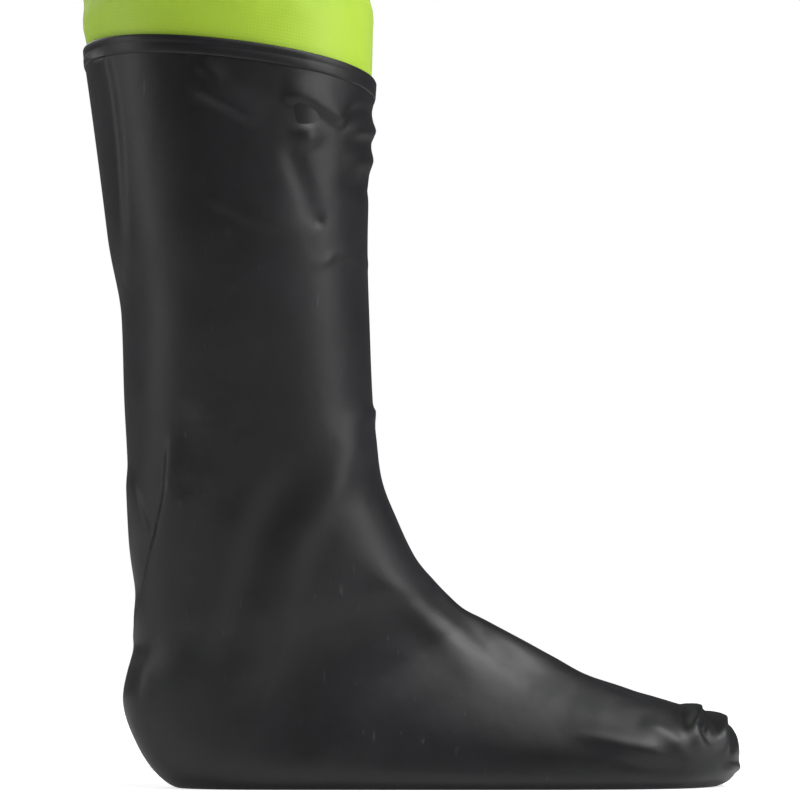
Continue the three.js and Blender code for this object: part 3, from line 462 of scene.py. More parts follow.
@dataclass(frozen=True)
class Cloth:
    """A woven cloth: threads or ribs along its own flat pattern, with cloudy wear and a soft sheen."""

    name: str
    colour: str
    worn: str
    thread: float  # millimetres between threads, drawn coarser than the real ones so that they show
    relief: float = 0.00008  # metres from the top of a thread to the bottom
    roughness: float = 0.5
    sheen: float = 0.1
    ribs: bool = False  # only across the band, as on elastic
    cloud: float = 70.0  # millimetres across a worn patch
    slack: float = 0.0  # metres of soft unevenness between the folds
    dent: float = 26.0  # millimetres from one soft dent to the next

    def build(self) -> bpy.types.Material:
        """Makes the material.

        Returns:
            The material.
        """
        made, tree, shader, where = blank(self.name)
        flat = add_node(tree, "ShaderNodeUVMap", uv_map="Flat").outputs["UV"]
        # A wave texture repeats about every 0.314 of its scaled length.
        scale = 314.0 / self.thread
        weft = add_node(tree, "ShaderNodeTexWave", {"Vector": flat, "Scale": scale, "Distortion": 0.4},
                        bands_direction="Y")
        threads = weft.outputs["Fac"]
        if not self.ribs:
            warp = add_node(tree, "ShaderNodeTexWave", {"Vector": flat, "Scale": scale, "Distortion": 0.4},
                            bands_direction="X")
            threads = add_node(tree, "ShaderNodeMath", {0: threads, 1: warp.outputs["Fac"]},
                               operation="MULTIPLY").outputs[0]
        cloud = add_node(tree, "ShaderNodeTexNoise", {
            "Vector": where, "Scale": 1000 / self.cloud, "Detail": 5.0, "Roughness": 0.6,
        })
        share = add_node(tree, "ShaderNodeMapRange", {
            "Value": cloud.outputs["Fac"], "From Min": 0.4, "From Max": 0.75, "To Max": 0.6,
        })
        between = add_node(tree, "ShaderNodeMapRange", {"Value": threads, "To Min": 0.22, "To Max": 0.0})
        both = add_node(tree, "ShaderNodeMath", {0: share.outputs["Result"], 1: between.outputs["Result"]},
                        operation="ADD", use_clamp=True)
        colour = add_node(tree, "ShaderNodeMix", {
            "Factor": both.outputs[0], "A": linear(self.colour), "B": linear(self.worn),
        }, data_type="RGBA")
        tree.links.new(colour.outputs["Result"], shader.inputs["Base Color"])
        gloss = add_node(tree, "ShaderNodeMapRange", {
            "Value": cloud.outputs["Fac"], "To Min": self.roughness - 0.06, "To Max": self.roughness + 0.08,
        })
        tree.links.new(gloss.outputs["Result"], shader.inputs["Roughness"])
        uneven = add_node(tree, "ShaderNodeTexNoise", {
            "Vector": where, "Scale": 1000 / self.dent, "Detail": 2.0,
        })
        soft = add_node(tree, "ShaderNodeBump", {
            "Height": uneven.outputs["Fac"], "Distance": self.slack, "Strength": 0.5,
        })
        fine = add_node(tree, "ShaderNodeBump", {
            "Height": threads, "Distance": self.relief, "Strength": 0.8, "Normal": soft.outputs["Normal"],
        })
        tree.links.new(fine.outputs["Normal"], shader.inputs["Normal"])
        shader.inputs["Sheen Weight"].default_value = self.sheen
        shader.inputs["Sheen Roughness"].default_value = 0.45
        return made


@dataclass(frozen=True)
class Hard:
    """A moulded, pressed, plated or spun finish with a fine grain and cloudy rubbed marks."""

    name: str
    colour: str
    rubbed: str
    roughness: float
    grain: float = 0.5  # millimetres
    relief: float = 0.00002
    metallic: float = 0.0

    def build(self) -> bpy.types.Material:
        """Makes the material.

        Returns:
            The material.
        """
        made, tree, shader, where = blank(self.name)
        cloud = add_node(tree, "ShaderNodeTexNoise", {"Vector": where, "Scale": 90.0, "Detail": 4.0})
        share = add_node(tree, "ShaderNodeMapRange", {
            "Value": cloud.outputs["Fac"], "From Min": 0.45, "From Max": 0.8, "To Max": 0.5,
        })
        colour = add_node(tree, "ShaderNodeMix", {
            "Factor": share.outputs["Result"], "A": linear(self.colour), "B": linear(self.rubbed),
        }, data_type="RGBA")
        tree.links.new(colour.outputs["Result"], shader.inputs["Base Color"])
        gloss = add_node(tree, "ShaderNodeMapRange", {
            "Value": cloud.outputs["Fac"], "To Min": self.roughness - 0.08, "To Max": self.roughness + 0.1,
        })
        tree.links.new(gloss.outputs["Result"], shader.inputs["Roughness"])
        grain = add_node(tree, "ShaderNodeTexNoise", {
            "Vector": where, "Scale": 1000 / self.grain, "Detail": 2.0,
        })
        bump = add_node(tree, "ShaderNodeBump", {
            "Height": grain.outputs["Fac"], "Distance": self.relief, "Strength": 0.6,
        })
        tree.links.new(bump.outputs["Normal"], shader.inputs["Normal"])
        shader.inputs["Metallic"].default_value = self.metallic
        return made


class Finish(Enum):
    """Every finish on the waders apart from the latex."""

    # Nylon taffeta with a waterproof coating: smooth, satin and a little slack between its folds.
    FABRIC = Cloth("coated_nylon_taffeta", "#b6da3a", "#a9cd34", 1.5, 0.00005, 0.5, 0.12, slack=0.0009)
    # A heavier weave, sewn on where the waders wear.
    PATCH = Cloth("heavy_ripstop_nylon", "#9dc036", "#91b32f", 2.2, 0.00012, 0.58, 0.12)
    # Grosgrain tape folded over the top edge.
    BINDING = Cloth("grosgrain_binding_tape", "#1a1b1d", "#27282b", 1.2, 0.00012, 0.75, 0.2, ribs=True)
    # Flat polypropylene webbing, whose thick yarns catch the light.
    WEBBING = Cloth("polypropylene_webbing", "#151618", "#232428", 1.6, 0.00025, 0.6, 0.15)
    # Knitted elastic, ribbed across.
    ELASTIC = Cloth("knitted_elastic_webbing", "#17181a", "#292a2e", 1.9, 0.0003, 0.72, 0.25, ribs=True)
    # Plain polyester tape beside the zip's teeth.
    ZIP_TAPE = Cloth("polyester_zip_tape", "#1d1e20", "#2b2c2f", 1.1, 0.0001, 0.7, 0.15)
    # Injection-moulded acetal: a satin black with a faint spark-eroded grain.
    ACETAL = Hard("injection_moulded_acetal", "#17181a", "#2a2b2e", 0.42, 0.45, 0.00003)
    # Pressed nylon plate with a leathery grain.
    YOKE = Hard("grained_nylon_plate", "#202124", "#303135", 0.6, 1.6, 0.00012)
    # Nickel-plated steel, bright with dull rubbed marks.
    NICKEL = Hard("nickel_plated_steel", "#c4c5c7", "#94959a", 0.27, 0.4, 0.00001, 1.0)
    # Moulded polyester coil of the zip.
    TEETH = Hard("moulded_zip_teeth", "#232427", "#37383c", 0.38, 0.4, 0.00001)
    # Bonded thread in two tones: green on the panels, black on the webbing.
    THREAD = Hard("bonded_green_thread", "#7f9e2e", "#8fae3a", 0.55, 0.3, 0.00005)
    DARK_THREAD = Hard("bonded_grey_thread", "#4a4c50", "#5c5e63", 0.55, 0.3, 0.00005)

    @property
    def material(self) -> bpy.types.Material:
        """The finish's material, which is made on first use."""
        return bpy.data.materials.get(self.value.name) or self.value.build()


# ------------------------------------------------------------------------------------------------ studio


@dataclass(frozen=True)
class Lamp:
    """A soft light: where it stands and what it looks at, in metres, its size, power and colour.

    spread is the angle, in degrees, that a grid on the softbox lets its light fan out to.
    """

    name: str
    place: tuple[float, float, float]
    aim: tuple[float, float, float]
    size: tuple[float, float]
    watts: float
    colour: str = "#ffffff"
    spread: float = 180.0

    def build(self) -> None:
        """Makes the area light."""
        data = bpy.data.lights.new(self.name, "AREA")
        data.shape = "RECTANGLE"
        data.size, data.size_y = self.size
        data.energy = self.watts
        data.spread = math.radians(self.spread)
        data.color = linear(self.colour)[:3]
        lamp = in_scene(self.name, data)
        lamp.location = self.place
        direction = Vector(self.aim) - Vector(self.place)
        lamp.rotation_euler = direction.to_track_quat("-Z", "Y").to_euler()


@dataclass
class Studio:
    """A plain pale floor, soft lights and the camera beside the right foot."""

    eye: tuple[float, float] = (5.0, 50.0)  # X and height of the camera, millimetres
    middle: tuple[float, float] = (79.0, 177.0)  # what the middle of the view falls on, on the leg's plane
    frame_width: float = 367.0  # how much of the leg's plane the view takes in
    distance: float = 1250.0
    leg_plane: float = -115.0
    sensor: float = 36.0
    floor_radius: float = 9.0  # metres
    lamps: tuple[Lamp, ...] = (
        Lamp("toe_softbox", (2.1, -0.75, 0.9), (0.05, -0.1, 0.2), (1.0, 1.5), 3.6, spread=80.0),
        Lamp("heel_softbox", (-2.2, -0.45, 0.8), (-0.05, -0.1, 0.2), (0.8, 1.4), 10.0),
        Lamp("instep_softbox", (1.3, -0.5, 1.9), (0.1, -0.1, 0.05), (0.9, 0.9), 5.6, spread=80.0),
        Lamp("upper_softbox", (0.9, -1.9, 2.9), (-0.05, 0.0, 0.95), (2.4, 1.4), 29.0),
        Lamp("back_softbox", (-1.6, 2.1, 2.2), (-0.05, 0.0, 0.8), (2.4, 1.8), 34.0),
    )

    def eye_point(self) -> Array:
        """The camera's place in the drawing frame, in millimetres."""
        return np.array([self.eye[0], self.leg_plane - self.distance, self.eye[1]])

    def build(self) -> None:
        """Makes the camera, the lights, the floor and the world."""
        scene = bpy.context.scene
        data = bpy.data.cameras.new("view")
        data.sensor_width = self.sensor
        eye = self.eye_point()
        target = np.array([self.middle[0], self.leg_plane, self.middle[1]])
        reach = float(np.linalg.norm(target - eye))
        data.lens = self.sensor * reach / self.frame_width
        camera = in_scene("view", data)
        shift = np.array([Shape.SHIFT, 0, 0])
        camera.location = Vector((eye + shift) * MM)
        camera.rotation_euler = Vector(target - eye).to_track_quat("-Z", "Y").to_euler()
        data.clip_start, data.clip_end = 0.05, 60
        scene.camera = camera
        scene.view_settings.view_transform = "Standard"
        for lamp in self.lamps:
            lamp.build()
        self.build_floor()
        self.build_world()

    def build_floor(self) -> None:
        """Makes the floor as a wide disc."""
        mesh = bpy.data.meshes.new("floor")
        turn = np.linspace(0, 2 * math.pi, 96, endpoint=False)
        rim = np.stack([np.cos(turn), np.sin(turn), 0 * turn], axis=1) * self.floor_radius
        mesh.from_pydata(rim.tolist(), [], [tuple(range(len(rim)))])
        floor = in_scene("floor", mesh)
        material = bpy.data.materials.new("matte_white_sweep")
        material.use_nodes = True
        shader = material.node_tree.nodes["Principled BSDF"]
        shader.inputs["Base Color"].default_value = linear("#f4f4f4")
        shader.inputs["Roughness"].default_value = 0.9
        shader.inputs["Specular IOR Level"].default_value = 0.1
        shader.inputs["Emission Color"].default_value = linear("#ffffff")
        # The middle is darker by itself, so that the soft shadow under the feet still shows.
        where = add_node(material.node_tree, "ShaderNodeTexCoord").outputs["Object"]
        reach = add_node(material.node_tree, "ShaderNodeVectorMath", {0: where}, operation="LENGTH")
        glow = add_node(material.node_tree, "ShaderNodeMapRange", {
            "Value": reach.outputs["Value"], "From Min": 0.2, "From Max": 1.6, "To Min": 0.72, "To Max": 1.0,
        }, interpolation_type="SMOOTHSTEP")
        # It looks white, and yet throws little light on the black latex.
        seen = add_node(material.node_tree, "ShaderNodeLightPath").outputs["Is Camera Ray"]
        share = add_node(material.node_tree, "ShaderNodeMapRange", {
            "Value": seen, "To Min": 0.22, "To Max": 1.0,
        })
        shown = add_node(material.node_tree, "ShaderNodeMath", {
            0: glow.outputs["Result"], 1: share.outputs["Result"],
        }, operation="MULTIPLY")
        material.node_tree.links.new(shown.outputs[0], shader.inputs["Emission Strength"])
        mesh.materials.append(material)

    def build_world(self) -> None:
        """Makes a white surround that lights the object only a little."""
        world = bpy.data.worlds.new("white_room")
        world.use_nodes = True
        tree = world.node_tree
        background = tree.nodes["Background"]
        seen = add_node(tree, "ShaderNodeLightPath").outputs["Is Camera Ray"]
        strength = add_node(tree, "ShaderNodeMapRange", {"Value": seen, "To Min": 0.075, "To Max": 1.0})
        background.inputs["Color"].default_value = linear("#ffffff")
        tree.links.new(strength.outputs["Result"], background.inputs["Strength"])
        bpy.context.scene.world = world


# ------------------------------------------------------------------------------------------------ socks


@dataclass(frozen=True)
class Crease:
    """A fold in the latex along a line on the side of the foot.

    The line's points are (X, height) in millimetres. The surface rises by height along it and falls away within
    left and right millimetres on either side, seen along the line. ends are the shares of the line over which
    the fold grows and dies.
    """

    line: Sequence[tuple[float, float]]
    height: float
    left: float
    right: float
    ends: tuple[float, float] = (0.25, 0.25)

    def rise(self, x: Array, z: Array) -> Array:
        """How far the surface stands out at each place.

        Args:
            x: places along the foot.
            z: their heights.

        Returns:
            The rise in millimetres.
        """
        knots = np.array(self.line, float)
        stations = np.linspace(0, 1, len(knots))
        fine = np.linspace(0, 1, 6 * len(knots))
        path = np.stack([Track(list(zip(stations, knots[:, k])))(fine) for k in (0, 1)], axis=1)
        lengths = np.linalg.norm(np.diff(path, axis=0), axis=1)
        reached = np.concatenate([[0], np.cumsum(lengths)]) / lengths.sum()
        best = np.full(x.shape, 1e9)
        share = np.zeros(x.shape)
        beside = np.zeros(x.shape)
        for k, length in enumerate(lengths):
            ax, az = (path[k + 1] - path[k]) / length
            dx, dz = x - path[k, 0], z - path[k, 1]
            t = np.clip(dx * ax + dz * az, 0, length)
            distance = np.hypot(dx - t * ax, dz - t * az)
            nearer = distance < best
            best = np.where(nearer, distance, best)
            share = np.where(nearer, reached[k] + (reached[k + 1] - reached[k]) * t / length, share)
            beside = np.where(nearer, ax * dz - az * dx, beside)
        width = self.right + (self.left - self.right) * smooth(beside, -0.3, 0.3)
        grow = smooth(share, -1e-6, self.ends[0]) * smooth(1 - share, -1e-6, self.ends[1])
        value = grow * np.exp(-((best / width) ** 2))
        return self.height * value


@dataclass
class Last:
    """The foot form that the latex sock is drawn over.

    Each station joins a point down the back and under the sole to one down the shin and over the toes: rear x
    and z, front x and z, half width, shift to the big toe, height of the widest place as a share, squareness of
    the rear and of the front.
    """

    stations: tuple[tuple[float, ...], ...] = (
        (-67, 336, 67.5, 322, 60, 0, 0.5, 2.1, 2.1),
        (-61, 295, 65, 284, 59.5, 0, 0.5, 2.1, 2.1),
        (-54.5, 251, 64, 245, 58, 0, 0.5, 2.1, 2.1),
        (-48.5, 212, 65, 209, 55, 0, 0.5, 2.1, 2.1),
        (-47, 176, 66.5, 174, 51, 0, 0.5, 2.1, 2.1),
        (-45, 141, 70, 142, 47.5, 0, 0.5, 2.1, 2.1),
        (-44.5, 111, 78, 120, 45, 0, 0.5, 2.1, 2.05),
        (-42, 83, 87, 102, 43, 0, 0.48, 2.1, 2),
        (-41.5, 65, 94, 94, 41.5, 0, 0.45, 2.1, 2),
        (-46, 40, 101, 87, 39, 0, 0.42, 2.2, 1.95),
        (-39, 18, 108, 81, 38, 0, 0.38, 2.4, 1.95),
        (-21, 0, 117, 76, 38.5, 0, 0.34, 2.8, 1.9),
        (8, -3, 126, 71, 40, 0, 0.3, 3.2, 1.9),
        (42, -3, 137, 65, 42, 1, 0.27, 3.4, 1.9),
        (77, -3, 149, 58, 44.5, 2, 0.25, 3.4, 1.9),
        (109, -3, 163, 52, 47, 3, 0.25, 3.4, 1.9),
        (141, -3, 178, 46.5, 49.5, 4.5, 0.26, 3.4, 1.95),
        (171, -3, 193, 41.5, 50.5, 6, 0.3, 3.2, 2),
        (196, -3, 208, 37, 48, 8, 0.35, 3, 2.1),
        (217, -1.5, 222, 33, 40, 10, 0.42, 2.6, 2.1),
        (229.5, 2, 232, 26.5, 27, 12, 0.5, 2.2, 2),
        (235.9, 12.9, 236, 13.1, 0.1, 13, 0.5, 2, 2),
    )
    spread: float = 115.0  # centre plane to the middle of the foot

    def __post_init__(self) -> None:
        """Turns each column of the stations into a smooth track."""
        columns = zip(*self.stations)
        self.tracks = [Track(list(enumerate(column))) for column in columns]

    def point(self, u: Array, v: Array) -> Array:
        """Points of the right sock's outside.

        Args:
            u: once round from the back by the outer side.
            v: stations, from the top edge to the toe.

        Returns:
            Points in the drawing frame.
        """
        rx, rz, fx, fz, half, shift, widest, rear_power, front_power = (t(v) for t in self.tracks)
        along = np.cos(2 * math.pi * u)
        power = np.where(along > 0, rear_power, front_power)
        reach = np.where(along > 0, widest, 1 - widest)
        share = widest - reach * signed_power(along, power)
        across = half * signed_power(np.sin(2 * math.pi * u), power)
        x = rx + (fx - rx) * share
        z = np.maximum(0, rz + (fz - rz) * share)
        return np.stack([x, -(self.spread + across - shift), z], axis=-1)


@dataclass
class Sock:
    """A latex sock: a closed bag over the last with its folds, and the tape round its top edge."""

    last: Last
    eye: Array  # where the folds' lines were drawn from
    wall: float = 1.2
    columns: int = 236
    row_step: float = 2.0
    creases: tuple[Crease, ...] = (
        # the pressed fold down the back of the shaft
        Crease([(-57.5, 336), (-53.7, 317), (-50.5, 290), (-48.7, 260), (-48.2, 235), (-48.5, 214)],
               1.5, 2.0, 9.0, (0.02, 0.3)),
        # slack under the edge tape
        Crease([(-16, 333), (-7.4, 325.6), (-2, 321)], 0.9, 5.0, 2.6),
        Crease([(-20, 322), (-7.4, 315.6), (0.5, 311.7), (7.3, 307.7), (15, 301)], 1.2, 9.0, 2.4),
        Crease([(22, 318), (33.4, 315.6), (43, 311), (54, 303.5)], 2.3, 11.0, 2.2, (0.3, 0.15)),
        Crease([(33, 306), (36, 298), (39, 291)], 1.9, 6.0, 5.0, (0.4, 0.4)),
        Crease([(27, 300), (29, 290), (35.3, 271.8), (41.3, 252)], -1.1, 5.0, 5.0),
        Crease([(41.5, 264), (41.8, 259), (42, 254)], -1.2, 2.6, 2.6, (0.5, 0.5)),
        Crease([(44, 243), (47, 238)], 0.7, 5.0, 5.0, (0.5, 0.5)),
        Crease([(-14, 272), (12.4, 259), (33, 254)], 0.5, 12.0, 3.0),
        Crease([(50, 245), (57, 241.5), (66, 237)], 0.5, 2.0, 2.0),
        # ripples down the shin
        Crease([(50, 302), (59, 301), (74, 300.6)], 2.0, 3.4, 3.4, (0.5, 0.0)),
        Crease([(52, 286), (60, 287), (74, 287)], 1.6, 4.2, 4.2, (0.5, 0.0)),
        Crease([(48, 309), (60, 310), (74, 310)], -0.9, 3.0, 3.0, (0.5, 0.0)),
        Crease([(46, 275), (60, 275), (74, 274)], -0.9, 5.0, 5.0, (0.5, 0.0)),
        # the overlap behind the ankle
        Crease([(-25.5, 162), (-27.1, 145), (-27.6, 132), (-30.3, 116.6), (-34, 102), (-37.2, 87),
                (-39.2, 74.4), (-42.5, 61)], 2.2, 16.0, 1.3, (0.25, 0.2)),
        Crease([(-27, 156), (-32, 128), (-38, 100), (-43, 74)], -1.5, 2.5, 7.0, (0.3, 0.2)),
        Crease([(-45, 147), (-38.7, 121.8), (-33.5, 106)], 1.1, 1.6, 6.0, (0.3, 0.3)),
        Crease([(-18, 176), (-19, 150), (-21, 128)], -0.9, 8.0, 5.0),
        # long drags from the shin to the heel and the sole
        Crease([(66, 167), (58, 155), (46.6, 132.3), (32, 110), (26, 85), (21, 58), (14, 34)],
               2.0, 8.0, 10.0, (0.12, 0.3)),
        Crease([(34, 150), (20.2, 127), (15, 111.2), (8.7, 90.1), (0.3, 58.5), (-6, 34)],
               -1.2, 8.0, 7.0, (0.3, 0.3)),
        Crease([(8, 140), (2, 112), (-5, 84), (-14, 56)], 0.9, 8.0, 8.0, (0.3, 0.3)),
        Crease([(26.6, 68), (21.3, 52.2), (14.5, 32)], 0.35, 1.0, 0.8, (0.2, 0.2)),
        Crease([(68, 172), (60, 166), (50, 163)], 1.2, 5.0, 5.0, (0.1, 0.6)),
        # over the instep and down to the toes
        Crease([(66, 112), (72, 96), (84, 82), (96, 71), (108, 58), (120, 46)], 1.6, 9.0, 7.0, (0.3, 0.4)),
        Crease([(82, 100), (98, 84), (110, 75), (130, 56), (150, 42)], -1.0, 4.5, 5.0, (0.3, 0.5)),
        Crease([(108, 80), (120.7, 71.6), (144.1, 59.2), (162.9, 49.1), (176.9, 42.4), (190.9, 37.7),
                (201.3, 36.4), (207.5, 33.5)], 1.5, 1.5, 6.0, (0.3, 0.1)),
        Crease([(150, 58.5), (165, 51.5), (180, 44.5), (196, 39.5)], -0.9, 1.5, 1.8, (0.3, 0.2)),
        Crease([(150, 27), (176.9, 20.5), (195.5, 15.4), (206, 11)], 1.3, 5.0, 4.0, (0.4, 0.3)),
        Crease([(186, 30), (200, 24), (211, 14)], 1.0, 4.0, 4.0, (0.4, 0.3)),
        Crease([(172, 12), (196, 8), (214, 7)], -0.9, 3.0, 3.0, (0.4, 0.3)),
        # two sharp wrinkles over the toes
        Crease([(214.5, 42), (216.2, 36.5), (216.5, 31), (214, 26.5), (217, 20), (222, 15)],
               3.2, 1.5, 4.2, (0.0, 0.5)),
        Crease([(217.5, 36), (218.2, 30), (217.2, 25), (221, 18)], -1.5, 1.6, 1.4, (0.0, 0.5)),
        Crease([(226, 40), (227, 33.5), (227.2, 26), (228.5, 19), (228, 12)], 2.9, 1.4, 3.6, (0.0, 0.5)),
        Crease([(229.2, 34), (229.8, 27), (230.4, 19), (229.5, 12)], -1.4, 1.5, 1.4, (0.0, 0.4)),
        Crease([(206, 36), (209.5, 30), (211, 24)], -1.3, 3.0, 2.2, (0.2, 0.6)),
        Crease([(221, 32), (223, 26), (224, 20)], -1.2, 2.2, 1.6, (0.2, 0.5)),
        Crease([(226, 9), (232, 8.5), (239, 9.5)], 1.4, 2.0, 2.0, (0.3, 0.0)),
        # the heel
        Crease([(-36, 62), (-39, 44), (-34, 26)], 0.9, 5.0, 6.0, (0.3, 0.4)),
    )

    def rows(self) -> Array:
        """Spaces the rows closely enough for the folds to be sharp.

        Returns:
            The rows' stations.
        """
        marks = [0.0]
        for k in range(len(self.last.stations) - 1):
            ends = self.last.point(np.array([0.0, 0.25, 0.5]), np.array([[k], [k + 1.0]]))
            longest = float(np.linalg.norm(ends[1] - ends[0], axis=-1).max())
            steps = max(3, math.ceil(longest / self.row_step))
            marks += [k + (j + 1) / steps for j in range(steps)]
        return np.array(marks[:-1] + [len(self.last.stations) - 1.02])

    def round_columns(self) -> Array:
        """Spaces the columns, closer together on the outer side, where the folds are drawn.

        Returns:
            Their positions round the sock.
        """
        fine = np.linspace(0, 1, 2000)
        density = 0.42 + 0.58 * (1 - smooth(fine, 0.55, 0.66) * smooth(1 - fine, 0.04, 0.14))
        grown = np.concatenate([[0], np.cumsum(density)[:-1]])
        grown /= grown[-1] + density[-1]
        return np.interp(np.arange(self.columns) / self.columns, grown, fine)

    def surface(self, u: Array, v: Array, lift: float | Array = 0.0) -> Array:
        """Points of the folded sock, on a grid.

        Args:
            u: positions round, one to a column.
            v: stations, one to a row.
            lift: how far off the outside to go.

        Returns:
            Rows by columns by 3.
        """
        grid_u, grid_v = np.meshgrid(u, v)
        base = self.last.point(grid_u, grid_v)
        step_u, step_v = 1e-3, 2e-2
        top = len(self.last.stations) - 1.0
        across = self.last.point(grid_u + step_u, grid_v) - self.last.point(grid_u - step_u, grid_v)
        along = self.last.point(grid_u, np.minimum(grid_v + step_v, top)) - self.last.point(
            grid_u, np.maximum(grid_v - step_v, 0)
        )
        normal = unit(np.cross(along, across))
        plane = -self.last.spread
        depth = np.abs(base[..., 1] - plane)
        scale = (plane - self.eye[1]) / (plane - self.eye[1] - depth)
        x = self.eye[0] + (base[..., 0] - self.eye[0]) * scale
        z = self.eye[2] + (base[..., 2] - self.eye[2]) * scale
        rise = sum(crease.rise(x, z) for crease in self.creases)
        inner_side = smooth(base[..., 1], plane - 6, plane + 14)
        rise = rise * (1 - 0.35 * inner_side)
        on_floor = smooth(base[..., 2], 0.0, 7.0)
        near_edge = smooth(grid_v, 0.0, 0.5)
        rise = np.where(rise < 0, rise * (0.25 + 0.75 * near_edge), rise) * on_floor
        made = base + normal * (rise + lift)[..., None]
        made[..., 2] = np.maximum(made[..., 2], 0)
        return made

    def build(self, side: Side, latex: bpy.types.Material) -> list[bpy.types.Object]:
        """Makes the sock and its edge tape.

        Args:
            side: which foot.
            latex: the material of both.

        Returns:
            The sock and the tape.
        """
        u = self.round_columns()
        outside = self.surface(u, self.rows())
        inner_rows = np.linspace(0.0, len(self.last.stations) - 1.02, 44)
        inside = self.surface(u, inner_rows, -self.wall)
        inside[..., 2] = np.maximum(inside[..., 2], self.wall)
        rim = np.stack([outside[0] * (1 - t) + inside[0] * t for t in (0.2, 0.8)])
        rim[..., 2] += 0.35
        rings = np.concatenate([outside[::-1], rim, inside])
        rows, columns = rings.shape[:2]
        tips = np.stack([outside[-1].mean(axis=0), inside[-1].mean(axis=0)])
        faces = grid_faces(rows, columns, True)
        count = rows * columns
        for k in range(columns):
            nxt = (k + 1) % columns
            faces.append((count, nxt, k))
            faces.append((count + 1, count - columns + k, count - columns + nxt))
        points = np.concatenate([rings.reshape(-1, 3), tips])
        sock = self.finish(Shape(points, faces), f"{side.label}_latex_sock", side, latex)
        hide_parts(f"{side.label}_sock")

        first_row = float(np.linalg.norm(outside[0] - self.surface(u, np.array([1.0]))[0], axis=-1).mean())
        profile = [(0.0, 0.1), (0.3, 0.42), (2.6, 0.45), (3.2, 0.25), (3.8, 0.42), (6.6, 0.45), (7.6, 0.3),
                   (8.0, 0.02)]
        low = 0.12
        outer = np.concatenate([
            self.surface(u, np.array([mm / first_row]), low + t) for mm, t in profile
        ])
        inner = np.concatenate([
            self.surface(u, np.array([mm / first_row]), 0.1) for mm, _ in profile
        ])
        outer[0, :, 2] += 0.3
        tape = self.finish(closed_sheet(outer, inner, wrap=True), f"{side.label}_edge_tape", side, latex)
        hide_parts(f"{side.label}_sock_edge_tape")
        return [sock, tape]

    def finish(self, shape: Shape, name: str, side: Side, material: bpy.types.Material) -> bpy.types.Object:
        """Mirrors a right-foot shape if it is for the left, and makes its object, riding on the garment.

        Args:
            shape: drawn for the right foot.
            name: the piece's name.
            side: which foot it is for.
            material: its material.

        Returns:
            The object.
        """
        shape.points = shape.points * side.mirror
        made = shape.object(name)
        made.data.materials.append(material)
        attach(made, "garment")
        return made


# ------------------------------------------------------------------------------------------------ garment


@dataclass
class Form:
    """The garment's outside before it wrinkles: two tubes over the legs that join at the crotch into one.

    A place on a half is q, which is 0 at the side, 1 at the inseam or the centre front and -1 the same at the
    back, and a height. Reaches are to the front, back and side of the middle of the leg or trunk.
    """

    cuff: tuple[float, float] = (307.0, 329.0)  # the fabric's lower edge, and the middle of the sock's top edge
    cuff_reach: tuple[float, float] = (65.45, 58.2)  # front or back, and side
    narrowing: tuple[float, float, float] = (1.76, 3.52, 0.66)  # inside the sock, at the front, back and side
    front: Pairs = ((430, 72), (520, 82), (655, 92), (790, 106),
                    (860, 118), (930, 126), (1010, 127), (1330, 146))
    back: Pairs = ((430, 78), (520, 76), (655, 92), (790, 112),
                   (860, 134), (930, 141), (1010, 126), (1330, 136))
    side: Pairs = ((430, 69), (520, 76), (655, 90), (790, 99), (930, 203), (1010, 204), (1330, 216))
    spread: Pairs = ((329, 115), (520, 107), (790, 99.5), (860, 52), (930, 0))
    centre: Pairs = ((329, 0.25), (430, -3), (520, 4), (790, 0), (930, 0))
    squareness: Pairs = ((790, 2.1), (930, 2.3), (1330, 2.45))
    tilt: Pairs = ((329, 14 / 134.5), (520, 0))
    crotch: float = 790.0
    waist: float = 1010.0
    bib_front: float = 1330.0
    bib_side: float = 1235.0
    bib_back: float = 1290.0

    def __post_init__(self) -> None:
        """Turns the levels into smooth tracks."""
        low, middle = self.cuff
        depth, width = self.cuff_reach
        ends = [(low, depth - self.narrowing[0]), (middle, depth)]
        self.front_track = Track([*ends, *self.front])
        self.back_track = Track([(low, depth - self.narrowing[1]), (middle, depth), *self.back])
        self.spread_track = Track(self.spread)
        self.centre_track = Track(self.centre)
        self.power_track = Track(self.squareness)
        self.tilt_track = Track(self.tilt)
        outer = [(z, float(self.spread_track(z)) + reach) for z, reach in self.side]
        at_cuff = float(self.spread_track(middle)) + width
        self.line_track = Track([(low, at_cuff - self.narrowing[2]), (middle, at_cuff), *outer])

    def top(self, q: Array) -> Array:
        """Height of the bib's top edge."""
        middle = np.where(q >= 0, self.bib_front, self.bib_back)
        return self.bib_side + (middle - self.bib_side) * smooth(np.abs(q), 0.12, 0.62)

    def point(self, side: Array, q: Array, z: Array) -> Array:
        """Points of the outside.

        Args:
            side: -1 for the right half and 1 for the left.
            q: places round the half.
            z: heights.

        Returns:
            Points in the drawing frame.
        """
        power = self.power_track(z)
        spread = self.spread_track(z)
        half = self.line_track(z) - spread
        share = np.clip(spread / half, 0, 1)
        end = np.arccos(-(share ** (power / 2)))
        angle = np.abs(q) * end
        depth = np.where(q >= 0, self.front_track(z), self.back_track(z))
        reach = np.sign(q) * depth * signed_power(np.sin(angle), power)
        across = spread + half * signed_power(np.cos(angle), power)
        lowered = z - reach * self.tilt_track(z)
        return np.stack([self.centre_track(z) + reach, side * across, lowered], axis=-1)


